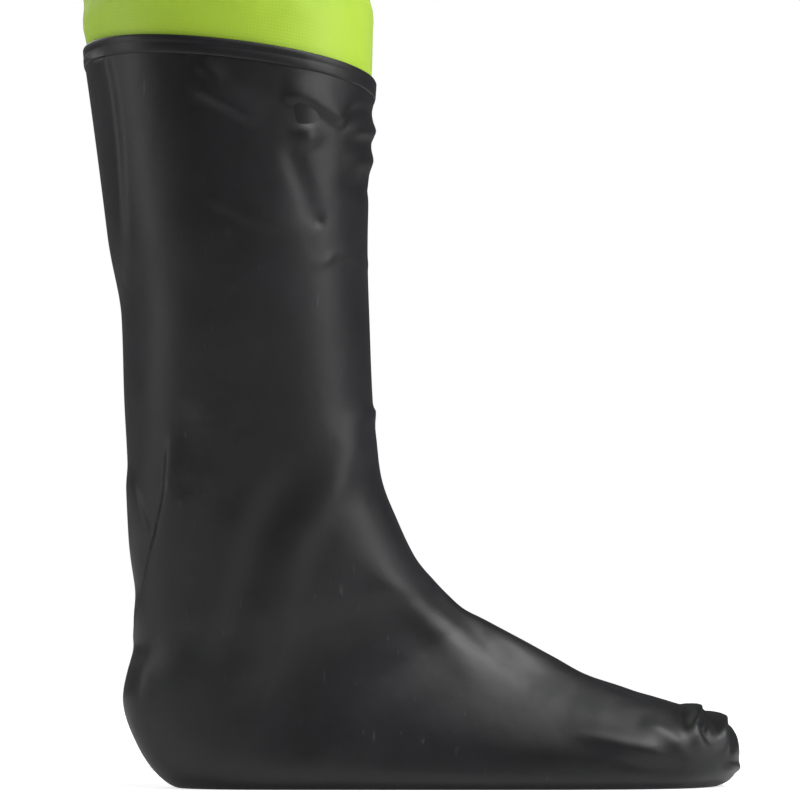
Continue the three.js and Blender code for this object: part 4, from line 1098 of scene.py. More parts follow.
@dataclass
class Skin:
    """The garment's outside with the wrinkles of a cloth simulation, from which every sewn piece is cut.

    The cloth is a grid over both halves. It starts a little longer than the form, so that it buckles as slack
    fabric does, is pinned where the sock, the belt and the braces hold it, and hangs under its own weight.
    """

    form: Form
    around: int = 61  # grid points round a half
    steps: tuple[int, int, int] = (54, 25, 36)  # rows from cuff to crotch, on to the waist, on to the top
    frames: int = 34
    slack_length: float = 0.07  # extra length of the cloth
    slack_round: float = 0.02
    most: float = 13.0  # furthest that a wrinkle may move the cloth, millimetres
    least: float = 2.2  # the same just above the sock, which holds the cloth taut
    knee_apart: float = 107.0  # centre plane to the middle of a leg
    belt: float = 1052.0  # height of the belt, which holds the waist
    base_hold: float = 0.075  # how firmly the body holds the cloth everywhere

    def __post_init__(self) -> None:
        """Prepares the grid and runs the simulation."""
        form = self.form
        a, b, c = self.steps
        legs = np.linspace(form.cuff[0], form.crotch, a + 1)
        seat = np.linspace(form.crotch, form.waist, b + 1)
        self.crotch_row, self.waist_row = a, a + b
        self.low_levels = np.concatenate([legs, seat[1:]])
        self.row_count = a + b + c + 1
        self.round = np.linspace(-1, 1, self.around)
        rows = np.arange(self.row_count)
        self.offset = np.zeros((2, self.row_count, self.around, 3))
        grid_q, grid_row = np.meshgrid(self.round, rows)
        self.base = np.stack([form.point(np.full_like(grid_q, s), grid_q, self.height(grid_q, grid_row))
                              for s in (-1.0, 1.0)])
        self.offset = self.capped(self.simulated() - self.base)
        self.padded = self.with_neighbours(self.offset)

    def height(self, q: Array, row: Array) -> Array:
        """Finds the height of places on the form.

        Args:
            q: places round the half.
            row: their rows, whole or not.

        Returns:
            The heights.
        """
        low = np.interp(row, np.arange(len(self.low_levels)), self.low_levels)
        share = np.clip((row - self.waist_row) / self.steps[2], 0, 1)
        high = self.form.waist + (self.form.top(q) - self.form.waist) * share
        return np.where(row <= self.waist_row, low, high)

    def row(self, q: Array, z: Array) -> Array:
        """Finds the row of places on the form.

        Args:
            q: places round the half.
            z: their heights.

        Returns:
            The rows, not rounded.
        """
        low = np.interp(z, self.low_levels, np.arange(len(self.low_levels)))
        share = (z - self.form.waist) / (self.form.top(q) - self.form.waist)
        return np.where(z <= self.form.waist, low, self.waist_row + share * self.steps[2])

    def numbering(self) -> Array:
        """Numbers the grid points, with one number where the cloth joins itself.

        Returns:
            Vertex numbers, by half, row and column.
        """
        number = -np.ones((2, self.row_count, self.around), int)
        count = 0
        for row in range(self.row_count):
            for half in (0, 1):
                for column in range(self.around):
                    twin = -1
                    at_edge = column in (0, self.around - 1)
                    if row < self.crotch_row and column == self.around - 1:
                        twin = number[half, row, 0]
                    elif row == self.crotch_row and at_edge and (half, column) != (0, 0):
                        twin = number[0, row, 0]
                    elif row > self.crotch_row and half == 1 and at_edge:
                        twin = number[0, row, column]
                    if twin < 0:
                        twin, count = count, count + 1
                    number[half, row, column] = twin
        return number

    def simulated(self) -> Array:
        """Runs the cloth.

        Returns:
            The moved grid points, in millimetres.
        """
        number = self.numbering()
        count = int(number.max()) + 1
        start = np.zeros((count, 3))
        start[number.ravel()] = self.base.reshape(-1, 3)
        faces: list[tuple[int, ...]] = []
        for half in (0, 1):
            flat = number[half]
            corners = [flat[:-1, :-1], flat[:-1, 1:], flat[1:, 1:], flat[1:, :-1]]
            quads = np.stack(corners, axis=-1).reshape(-1, 4)
            if half:
                quads = quads[:, ::-1]
            faces += [tuple(q) for q in quads.tolist()]
        mesh = bpy.data.meshes.new("cloth")
        mesh.from_pydata((start * MM).tolist(), [], faces)
        cloth = in_scene("cloth", mesh)
        cloth.shape_key_add(name="Basis")
        rest = cloth.shape_key_add(name="cut")
        middle = np.where(start[:, 2] < self.form.crotch, np.sign(start[:, 1]) * self.knee_apart, 0.0)
        cut = start.copy()
        cut[:, 0] *= 1 + self.slack_round
        cut[:, 1] = middle + (start[:, 1] - middle) * (1 + self.slack_round)
        cut[:, 2] *= 1 + self.slack_length
        rest.data.foreach_set("co", (cut * MM).astype(np.float32).ravel())
        self.pin(cloth, start)
        settings = cloth.modifiers.new("cloth", "CLOTH").settings
        settings.quality = 5
        settings.mass = 0.25
        settings.tension_stiffness = settings.compression_stiffness = 18
        settings.shear_stiffness = 6
        settings.bending_stiffness = 0.12
        settings.air_damping = 2.5
        settings.tension_damping = settings.compression_damping = 8
        settings.vertex_group_mass = "held"
        settings.pin_stiffness = 0.7
        settings.rest_shape_key = rest
        cloth.modifiers["cloth"].point_cache.frame_end = self.frames
        for frame in range(1, self.frames + 1):
            bpy.context.scene.frame_set(frame)
        done = cloth.evaluated_get(bpy.context.evaluated_depsgraph_get()).to_mesh()
        moved = np.zeros(count * 3)
        done.vertices.foreach_get("co", moved)
        bpy.context.scene.frame_set(1)
        bpy.data.objects.remove(cloth)
        bpy.data.meshes.remove(mesh)
        return moved.reshape(-1, 3)[number] / MM

    def pin(self, cloth: bpy.types.Object, start: Array) -> None:
        """Weights how firmly the wearer's body and the fittings hold each point of the cloth.

        Args:
            cloth: the cloth.
            start: its points, in millimetres.
        """
        group = cloth.vertex_groups.new(name="held")
        z = start[:, 2]
        cuff = 1 - smooth(z, 338, 372)
        belt = np.exp(-(((z - self.belt) / 26) ** 2))
        chest = 0.35 * smooth(z, 1180, 1300)
        seat = 0.10 * np.exp(-(((z - 900) / 60) ** 2))
        top = 1 - smooth(self.form.bib_side - z, 6, 40)
        base = np.full_like(z, self.base_hold)
        held = np.clip(np.maximum.reduce([cuff, 0.8 * belt, chest, seat, 0.55 * top, base]), 0, 1)
        for index, weight in enumerate(held.tolist()):
            group.add([index], round(weight, 3), "REPLACE")

    def capped(self, offset: Array) -> Array:
        """Keeps the wrinkles within bounds, and small where fittings are sewn on.

        Args:
            offset: how far each grid point moved.

        Returns:
            The offsets that are used.
        """
        x, y, z = (self.base[..., k] for k in range(3))
        limit = self.least + (self.most - self.least) * smooth(z, 350, 440)
        belt = np.exp(-(((z - self.belt) / 34) ** 4))
        front = smooth(x, 40, 90)
        pocket = (front * (1 - smooth(np.abs(y - 10), 95, 130))
                  * smooth(z, 1060, 1095) * (1 - smooth(z, 1270, 1300)))
        ring = front * np.exp(-(((y + 132) / 30) ** 4)) * np.exp(-(((z - 1178) / 50) ** 4))
        edge = smooth(z, 1175, 1225)
        limit = limit * (1 - 0.97 * np.clip(belt + pocket + ring + edge * 0.88, 0, 1)) + 0.01
        length = np.linalg.norm(offset, axis=-1)
        scale = limit * np.tanh(length / limit) / np.maximum(length, 1e-6)
        return offset * scale[..., None]

    def with_neighbours(self, offset: Array) -> Array:
        """Adds two more columns at each end, taken from what lies across the seam.

        Args:
            offset: by half, row and column.

        Returns:
            The wider offsets.
        """
        made = np.zeros((2, self.row_count, self.around + 4, 3))
        made[:, :, 2:-2] = offset
        leg = self.crotch_row
        for half in (0, 1):
            other = offset[1 - half]
            mine = offset[half]
            for k in (1, 2):
                made[half, :leg, 2 - k] = mine[:leg, -1 - k]
                made[half, :leg, -3 + k] = mine[:leg, k]
                made[half, leg:, 2 - k] = other[leg:, k]
                made[half, leg:, -3 + k] = other[leg:, -1 - k]
        return made

    def points(self, side: Array | float, q: Array, z: Array) -> Array:
        """Places on the wrinkled outside.

        Args:
            side: -1 for the right half and 1 for the left.
            q: places round the half.
            z: heights on the form.

        Returns:
            Points in the drawing frame.
        """
        q, z, side = np.broadcast_arrays(np.asarray(q, float), np.asarray(z, float), np.asarray(side, float))
        at_column = (q + 1) / 2 * (self.around - 1) + 2
        at_row = np.clip(self.row(q, z), 0, self.row_count - 1)
        half = (side > 0).astype(int)
        moved = np.zeros(q.shape + (3,))
        column = np.clip(np.floor(at_column).astype(int), 2, self.around)
        row = np.clip(np.floor(at_row).astype(int), 0, self.row_count - 2)
        for i, wi in zip(range(-1, 3), self.blend(at_column - column)):
            for j, wj in zip(range(-1, 3), self.blend(at_row - row)):
                picked = self.padded[half, np.clip(row + j, 0, self.row_count - 1), column + i]
                moved += picked * (wi * wj)[..., None]
        return self.form.point(side, q, z) + moved

    @staticmethod
    def blend(t: Array) -> tuple[Array, Array, Array, Array]:
        """Weighs the four neighbours of a place on a Catmull-Rom curve.

        Args:
            t: how far it is from the second neighbour to the third.

        Returns:
            The four weights.
        """
        return (
            ((2 - t) * t - 1) * t / 2,
            ((3 * t - 5) * t * t + 2) / 2,
            ((4 - 3 * t) * t + 1) * t / 2,
            (t - 1) * t * t / 2,
        )


# ------------------------------------------------------------------------------------------------ lines


@dataclass
class Frame:
    """Right-angled directions on the garment: w across, t along and n outwards, in millimetres."""

    origin: Array
    t: Array
    n: Array

    def __post_init__(self) -> None:
        """Squares the directions."""
        self.n = unit(np.asarray(self.n, float))
        self.t = unit(self.t - self.n * float(np.dot(self.t, self.n)))
        self.w = np.cross(self.t, self.n)

    def point(self, w: float, t: float, n: float) -> Array:
        """The place at distances along the three directions."""
        return self.origin + self.w * w + self.t * t + self.n * n

    def fold(self, t: float, n: float, radius: float, start: float, end: float, steps: int = 8) -> Path:
        """Leads webbing round a bar.

        Args:
            t: the bar's place along the frame.
            n: the same outwards.
            radius: of the webbing's middle.
            start: angle in degrees, where 0 is along t and 90 along n.
            end: angle where it leaves the bar.
            steps: how many points there are after the first.

        Returns:
            The path.
        """
        made = []
        for angle in np.radians(np.linspace(start, end, steps + 1)):
            outward = self.t * math.cos(angle) + self.n * math.sin(angle)
            made.append((self.point(0, t, n) + outward * radius, outward))
        return made

    @classmethod
    def of_buckle(cls, node: str, along: Vector, bar_radius: float) -> Frame:
        """The frame of a buckle's socket, whose bar is on the origin and whose mouth faces along t.

        Args:
            node: the socket's node.
            along: the way that its clip slides out.
            bar_radius: how far the socket's ears reach behind the bar's middle.

        Returns:
            The frame.
        """
        points = node_points(node)
        t = unit(np.array(along, float))
        flat = points - points.mean(axis=0)
        flat = flat - np.outer(flat @ t, t)
        spread, directions = np.linalg.eigh(flat.T @ flat)
        w = directions[:, np.argmax(spread)]
        n = np.cross(w, t)
        n = n if n[0] > 0 else -n
        middle = [(float((points @ d).min()) + float((points @ d).max())) / 2 for d in (w, n)]
        origin = w * middle[0] + n * middle[1] + t * (float((points @ t).min()) + bar_radius)
        return cls(origin, t, n)


def node_points(node: str) -> Array:
    """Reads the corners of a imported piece.

    Args:
        node: its node.

    Returns:
        Points in millimetres in the drawing frame.
    """
    mesh = NODES[node].data
    found = np.zeros(len(mesh.vertices) * 3)
    mesh.vertices.foreach_get("co", found)
    return found.reshape(-1, 3) / MM - np.array([Shape.SHIFT, 0, 0])


def flowing(path: Path, spacing: float = 2.5) -> tuple[Array, Array]:
    """Points of a smooth curve through a path's places, with the facing turned evenly between them.

    Args:
        path: (place, direction that faces out) pairs.
        spacing: millimetres between the points.

    Returns:
        The points and their facings.
    """
    places = np.array([p for p, _ in path], float)
    facings = np.array([f for _, f in path], float)
    gaps = np.linalg.norm(np.diff(places, axis=0), axis=1)
    knots = np.concatenate([[0], np.cumsum(np.sqrt(gaps))])
    slopes = np.diff(places, axis=0) / np.diff(knots)[:, None]
    wide = (places[2:] - places[:-2]) / (knots[2:] - knots[:-2])[:, None]
    tangents = np.concatenate([slopes[:1], slopes[:-1] - wide + slopes[1:], slopes[-1:]])
    points, outs = [], []
    for k, gap in enumerate(gaps):
        steps = max(1, math.ceil(gap / spacing))
        s = (np.arange(steps) / steps)[:, None]
        h = knots[k + 1] - knots[k]
        points.append(
            places[k] * (2 * s**3 - 3 * s**2 + 1) + tangents[k] * h * (s**3 - 2 * s**2 + s)
            + places[k + 1] * (3 * s**2 - 2 * s**3) + tangents[k + 1] * h * (s**3 - s**2)
        )
        outs.append(facings[k] * (1 - s) + facings[k + 1] * s)
    return np.concatenate([*points, places[-1:]]), unit(np.concatenate([*outs, facings[-1:]]))


def ribbon(path: Path, width: float, wall: float, spacing: float = 2.5) -> Shape:
    """Webbing along a path: a flat band with rounded selvedges.

    Args:
        path: (place, direction that faces away from the bend) pairs.
        width: millimetres across.
        wall: millimetres thick.
        spacing: millimetres between its rows.

    Returns:
        The closed shape, with the distances across and along it as its UV.
    """
    points, facing = flowing(path, spacing)
    along = unit(np.gradient(points, axis=0))
    across = unit(np.cross(along, facing))
    out = np.cross(across, along)
    share = np.array([-1, -0.985, -0.955, -0.9, -0.6, -0.3, 0, 0.3, 0.6, 0.9, 0.955, 0.985, 1.0])
    # Selvedges are round and a little thicker than the middle.
    rounded = 0.3 + 0.7 * np.sqrt(1 - np.abs(share) ** 34)
    half = wall / 2 * rounded * (0.94 + 0.06 * smooth(np.abs(share), 0.8, 0.92))
    flat = points[:, None] + across[:, None] * (share * width / 2)[None, :, None]
    rise = out[:, None] * half[None, :, None]
    run = np.concatenate([[0], np.cumsum(np.linalg.norm(np.diff(points, axis=0), axis=1))])
    uv = np.stack(np.broadcast_arrays(share[None, :] * width / 2, run[:, None]), axis=-1)
    return closed_sheet(flat + rise, flat - rise, uv)


@dataclass
class Stitching:
    """Thread rows: each row is a polyline, and a node tree lays a stitch at every step along it."""

    spacing: float = 4.2  # millimetres from one stitch to the next, longer than the real 3 so that they show
    size: tuple[float, float, float] = (1.35, 0.36, 0.3)  # half lengths of a stitch

    def tree(self, kind: str, material: bpy.types.Material) -> bpy.types.NodeTree:
        """The node tree that repeats one small shape along the mesh's edges.

        Args:
            kind: the node that makes the small shape.
            material: the shape's material.

        Returns:
            The tree, whose named inputs are Spacing, Size and Facing.
        """
        tree = bpy.data.node_groups.new(f"row_of_{material.name}", "GeometryNodeTree")
        wanted = {"Geometry": "Geometry", "Spacing": "Float", "Size": "Vector", "Facing": "Vector"}
        for label, sort in wanted.items():
            tree.interface.new_socket(label, in_out="INPUT", socket_type=f"NodeSocket{sort}")
        tree.interface.new_socket("Geometry", in_out="OUTPUT", socket_type="NodeSocketGeometry")
        given = tree.nodes.new("NodeGroupInput").outputs
        curve = add_node(tree, "GeometryNodeMeshToCurve", {"Mesh": given["Geometry"]})
        rows = add_node(tree, "GeometryNodeCurveToPoints", {
            "Curve": curve.outputs["Curve"], "Length": given["Spacing"],
        }, mode="LENGTH")
        turned = add_node(tree, "FunctionNodeAlignRotationToVector", {
            "Vector": rows.outputs["Tangent"],
        }, axis="X")
        faced = add_node(tree, "FunctionNodeAlignRotationToVector", {
            "Rotation": turned.outputs["Rotation"], "Vector": given["Facing"],
        }, axis="Z", pivot_axis="X")
        shape = add_node(tree, kind, {"Radius": 1.0} if "Sphere" in kind else {"Size": (2.0, 2.0, 2.0)})
        if "Sphere" in kind:
            shape.inputs["Segments"].default_value = 6
            shape.inputs["Rings"].default_value = 4
        placed = add_node(tree, "GeometryNodeInstanceOnPoints", {
            "Points": rows.outputs["Points"], "Instance": shape.outputs["Mesh"],
            "Rotation": faced.outputs["Rotation"], "Scale": given["Size"],
        })
        real = add_node(tree, "GeometryNodeRealizeInstances", {"Geometry": placed.outputs["Instances"]})
        dressed = add_node(tree, "GeometryNodeSetMaterial", {
            "Geometry": real.outputs["Geometry"], "Material": material,
        })
        end = tree.nodes.new("NodeGroupOutput")
        tree.links.new(dressed.outputs["Geometry"], end.inputs["Geometry"])
        return tree

    def lay(
        self, name: str, rows: Sequence[Array], material: bpy.types.Material,
        kind: str = "GeometryNodeMeshUVSphere", facing: Sequence[float] = (0, 0, 1),
    ) -> bpy.types.Object:
        """Makes the rows as one mesh.

        Args:
            name: the piece's name.
            rows: polylines in millimetres.
            material: the thread's or teeth's material.
            kind: the node that makes the small shape.
            facing: the way that its Z faces, where that shows.

        Returns:
            The finished object.
        """
        points: list[Array] = []
        edges: list[tuple[int, int]] = []
        for row in rows:
            first = len(points)
            points.extend(np.asarray(row))
            edges += [(k, k + 1) for k in range(first, len(points) - 1)]
        placed = (np.array(points) + np.array([Shape.SHIFT, 0, 0])) * MM
        lines = bpy.data.meshes.new(f"{name}_lines")
        lines.from_pydata(placed.tolist(), edges, [])
        made = in_scene(name, lines)
        modifier = made.modifiers.new("rows", "NODES")
        tree = self.tree(kind, material)
        modifier.node_group = tree
        given = {item.name: item.identifier for item in tree.interface.items_tree if item.in_out == "INPUT"}
        modifier[given["Spacing"]] = self.spacing * MM
        modifier[given["Size"]] = [s * MM for s in self.size]
        modifier[given["Facing"]] = [float(f) for f in facing]
        finished(made)
        return made


# ------------------------------------------------------------------------------------------------ sewing


def dress(
    piece: bpy.types.Object, finish: Finish, body: str = "garment", nodes: Sequence[str] = (),
    move: bool = True,
) -> bpy.types.Object:
    """Gives a finished piece its material, its body and the nodes that it stands for.

    Args:
        piece: the object.
        finish: its finish.
        body: the body that it rides on.
        nodes: CAD nodes that it replaces.
        move: whether it rides; a blended piece doesn't.

    Returns:
        The piece.
    """
    if not piece.data.materials:
        piece.data.materials.append(finish.material)
    if move:
        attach(piece, body)
    if nodes:
        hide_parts(*nodes)
    LOG.info("%s: %d faces", piece.name, len(piece.data.polygons))
    return piece


@dataclass
class Sewn:
    """What the pieces of the garment share: its skin, and the walls and gaps between its layers."""

    skin: Skin
    fabric: float = 1.4
    patch: float = 1.2
    layer_gap: float = 0.6
    webbing: float = 38.0
    webbing_wall: float = 1.4
    fit: float = 0.3

    def lifted(self, side: Array | float, q: Array, z: Array, lift: Array | float = 0.0) -> Array:
        """Places above the wrinkled skin.

        Args:
            side: -1 for the right half and 1 for the left.
            q: places round the half.
            z: heights.
            lift: millimetres outwards.

        Returns:
            Points in the drawing frame.
        """
        q, z, side, lift = np.broadcast_arrays(*(np.asarray(a, float) for a in (q, z, side, lift)))
        return self.skin.points(side, q, z) + self.outward(side, q, z) * lift[..., None]

    def outward(self, side: Array, q: Array, z: Array) -> Array:
        """Finds the skin's normals.

        Args:
            side: -1 for the right half and 1 for the left.
            q: places round the half.
            z: heights.

        Returns:
            Unit vectors.
        """
        q, z, side = np.broadcast_arrays(*(np.asarray(a, float) for a in (q, z, side)))
        round_way = self.skin.points(side, q + 0.012, z) - self.skin.points(side, q - 0.012, z)
        up = self.skin.points(side, q, z + 1.5) - self.skin.points(side, q, z - 1.5)
        return unit(np.cross(round_way, up) * -side[..., None])

    @staticmethod
    def half(u: Array | float) -> tuple[Array, Array]:
        """Turns places round the trunk into places on its halves.

        Args:
            u: 0 at the right side, 0.25 in front, 0.5 at the left side and 0.75 behind.

        Returns:
            The sides and the places round each half.
        """
        turn = 4 * (np.asarray(u, float) - np.floor(u))
        side = np.where((turn > 1) & (turn <= 3), 1.0, -1.0)
        return side, np.where(turn <= 1, turn, np.where(turn <= 3, 2 - turn, turn - 4))

    def round_trunk(self, u: Array | float, z: Array | float, lift: Array | float = 0.0) -> Array:
        """Places above the trunk."""
        side, q = self.half(u)
        return self.lifted(side, q, z, lift)

    def off_trunk(self, u: Array | float, z: Array | float) -> Array:
        """The trunk's normals."""
        side, q = self.half(u)
        return self.outward(side, q, z)

    def top(self, u: Array | float) -> Array:
        """Height of the bib's top edge."""
        return self.skin.form.top(self.half(u)[1])

    def front_at(self, y: float, z: float) -> float:
        """Finds a place on the front of the trunk.

        Args:
            y: millimetres from the centre plane.
            z: height.

        Returns:
            The place round the trunk.
        """
        u = np.linspace(0.02, 0.48, 400)
        side, q = self.half(u)
        return float(np.interp(y, self.skin.form.point(side, q, np.full_like(u, z))[:, 1], u))

    def sheet(
        self, name: str, side: Array, q: Array, z: Array, lifts: tuple[float, float], finish: Finish,
        node: str, slot: str, held: str, edge: Array | float = 0.0,
        crown: Array | float = 0.0,
    ) -> bpy.types.Object:
        """Args:
            name: the piece's name.
            side: -1 or 1, on a grid of rows by columns.
            q: places round, on the same grid.
            z: heights, on the same grid.
            lifts: of its inner and outer face.
            finish: its cloth.
            node: the CAD node that it replaces.
            slot: the record's material slot, which is not used.
            edge: how far its edges are turned down, which draws a seam.
            crown: more lift, on the same grid.

        Returns:
            The piece.
        """
        base = self.skin.form.point(side, q, z)
        run = np.zeros(q.shape)
        run[:, 1:] = np.cumsum(np.linalg.norm(np.diff(base, axis=1), axis=-1), axis=1)
        run -= run.mean(axis=1, keepdims=True)
        climb = np.zeros(q.shape)
        climb[1:] = np.cumsum(np.linalg.norm(np.diff(base, axis=0), axis=-1), axis=0)
        nearest = np.minimum.reduce([
            np.abs(run - run[:, :1]), np.abs(run - run[:, -1:]),
            np.abs(climb - climb[:1]), np.abs(climb - climb[-1:]),
        ])
        turned = edge * (1 - smooth(nearest, 0.0, 3.0))
        outside = self.lifted(side, q, z, lifts[1] - turned + crown)
        inside = self.lifted(side, q, z, lifts[0])
        piece = closed_sheet(outside, inside, np.stack([run, climb], axis=-1)).object(name, 55)
        dress(piece, finish, nodes=[node])
        return piece

    def band(self, name: str, path: Path, finish: Finish, width: float | None = None,
             wall: float | None = None) -> bpy.types.Object:
        """Makes a strap.

        Args:
            name: the piece's name.
            path: where it runs.
            finish: its webbing.
            width: millimetres, unless it is as wide as the belt.
            wall: millimetres, unless it is as thick as the belt.

        Returns:
            The piece.
        """
        shape = ribbon(path, width or self.webbing, wall or self.webbing_wall)
        made = shape.object(name, 50)
        made.data.materials.append(finish.material)
        return made


@dataclass
class Panels(Sewn):
    """The six coated panels, the knee patches, the binding round the top, and their stitching."""

    seam: float = 0.5
    grid: float = 4.2
    knee: tuple[float, float] = (434.5, 624.5)
    knee_span: tuple[float, float] = (0.17, 0.83)
    binding_width: float = 16.0
    plain: tuple[float, float] = (385.0, 430.0)  # the seams' grooves begin between these heights
    first_stitch: float = 400.0
    last_stitch: float = 1212.0  # of the side seams, under the binding
    thread_lift: float = 0.14

    def build(self) -> None:
        """Makes every panel and what is sewn along their seams."""
        rows: list[Array] = []
        for side in Side:
            for face, label in ((1, "front"), (-1, "back")):
                self.leg(side, face, label)
            self.knee_patch(side, rows)
        for face, label in ((1, "front"), (-1, "back")):
            self.bib(face, label)
        self.binding(rows)
        self.seams(rows)
        stitches = Stitching().lay("panel_stitching", rows, Finish.THREAD.material)
        dress(stitches, Finish.THREAD)

    def leg(self, side: Side, face: int, label: str) -> None:
        """Makes one leg panel, from inside the sock to the waist.

        Args:
            side: which leg.
            face: 1 for the front and -1 for the back.
            label: the same in words.
        """
        form = self.skin.form
        z = np.linspace(form.cuff[0], form.waist - self.seam / 2,
                        round((form.waist - form.cuff[0]) / self.grid))
        above_sock = smooth(z, *self.plain)[:, None]
        q = np.linspace(0, 1, 66) * face
        grid_q, grid_z = np.meshgrid(q, z)
        self.sheet(f"{side.label}_{label}_leg_cloth", np.full_like(grid_q, side.value), grid_q, grid_z,
                   (-self.fabric, 0.0), Finish.FABRIC, f"{side.label}_leg_{label}_panel", "coated_fabric",
                   "hung", edge=0.6 * above_sock)

    def knee_patch(self, side: Side, rows: list[Array]) -> None:
        """Makes a knee patch.

        Args:
            side: which leg.
            rows: takes its rows of stitches.
        """
        low, high = self.knee
        s, t = np.meshgrid(np.linspace(-1, 1, 56), np.linspace(-1, 1, 64))
        # The square grid is drawn in at its corners, so that they are rounded.
        q = 0.5 + 0.5 * (self.knee_span[1] - self.knee_span[0]) * s * np.sqrt(1 - 0.2 * np.abs(t) ** 9)
        z = (low + high) / 2 + (high - low) / 2 * t * np.sqrt(1 - 0.2 * np.abs(s) ** 9)
        self.sheet(f"{side.label}_knee_patch_cloth", np.full_like(q, side.value), q, z, (0.1, 1.7),
                   Finish.PATCH, f"{side.label}_knee_patch", "patch_fabric", "laid", edge=0.9)
        turn = np.linspace(0, 1, 61)
        for inset in (0.955, 0.9):
            ring = np.concatenate([
                np.stack([-1 + 2 * turn, -1 + 0 * turn]), np.stack([1 + 0 * turn, -1 + 2 * turn]),
                np.stack([1 - 2 * turn, 1 + 0 * turn]), np.stack([-1 + 0 * turn, 1 - 2 * turn]),
            ], axis=1) * inset
            rq = 0.5 + 0.5 * (self.knee_span[1] - self.knee_span[0]) * ring[0]
            rz = (low + high) / 2 + (high - low) / 2 * ring[1]
            rows.append(self.lifted(side.value, rq, rz, 1.85))

    def bib(self, face: int, label: str) -> None:
        """Makes the front or back panel of the bib.

        Args:
            face: 1 for the front and -1 for the back.
            label: the same in words.
        """
        form = self.skin.form
        across = np.linspace(-1, 1, 131)
        q = face * (1 - np.abs(across))
        share = np.linspace(0, 1, 78)
        grid_q, grid_share = np.meshgrid(q, share)
        side = np.where(np.broadcast_to(across, grid_q.shape) < 0, -1.0, 1.0)
        low = form.waist + self.seam / 2
        z = low + (form.top(grid_q) - low) * grid_share
        self.sheet(f"{label}_bib_cloth", side, grid_q, z, (-self.fabric, 0.0), Finish.FABRIC,
                   f"{label}_bib_panel", "coated_fabric", "hung", edge=0.7)

    def binding(self, rows: list[Array]) -> None:
        """Makes the tape folded over the top edge.

        Args:
            rows: takes its row of stitches.
        """
        u = np.linspace(0, 1, 420, endpoint=False)
        top = self.top(u)
        inner, outer = -self.fabric - self.layer_gap, self.layer_gap
        wall = self.patch
        profile = [
            (-self.binding_width, outer - 0.4), (-self.binding_width, outer + wall - 0.5),
            (-self.binding_width + 0.8, outer + wall), (-9, outer + wall + 0.1), (-2, outer + wall),
            (0.9, outer + wall - 0.2), (1.7, 0.6), (1.9, -0.7), (1.7, -2.0), (0.9, inner - wall + 0.2),
            (-2, inner - wall), (-9, inner - wall - 0.1), (-self.binding_width, inner - wall + 0.4),
            (-self.binding_width, inner + 0.2), (-2, inner), (0.3, inner + 0.1), (0.5, -0.7), (0.3, outer - 0.1),
            (-2, outer - 0.1),
        ]
        rings = np.stack([self.round_trunk(u, top + mm, lift) for mm, lift in profile], axis=1)
        count = len(profile)
        faces = grid_faces(len(u), count, True)
        last = (len(u) - 1) * count
        faces += [(last + k, last + (k + 1) % count, (k + 1) % count, k) for k in range(count)]
        run = np.concatenate([[0], np.cumsum(np.linalg.norm(np.diff(rings[:, 3], axis=0), axis=1))])
        uv = np.stack(np.broadcast_arrays(np.arange(count)[None, :] * 2.0, run[:, None]), axis=-1)
        piece = Shape(rings.reshape(-1, 3), faces, uv.reshape(-1, 2)).object("top_edge_tape", 50)
        dress(piece, Finish.BINDING, nodes=["top_edge_binding"])
        closed = np.append(u, u[0])
        rows.append(self.round_trunk(closed, self.top(closed) - self.binding_width + 2.6, outer + wall + 0.12))

    def seams(self, rows: list[Array]) -> None:
        """Lays out the twin rows of stitches beside the side, inseam and waist seams.

        Args:
            rows: takes them.
        """
        form = self.skin.form
        leg = np.linspace(self.first_stitch, form.waist - 3, 300)
        trunk = np.linspace(form.waist + 4, self.last_stitch, 90)
        inseam = np.linspace(self.first_stitch, form.crotch - 6, 190)
        for side in Side:
            for offset in (-0.0105, -0.021):
                for z, q in ((leg, offset), (trunk, offset), (inseam, -1 - offset)):
                    rows.append(self.lifted(side.value, np.full_like(z, q), z, self.thread_lift))
        turn = np.linspace(0, 1, 500)
        for height in (3.2, 6.6):
            rows.append(self.round_trunk(turn, form.waist + height, self.thread_lift))


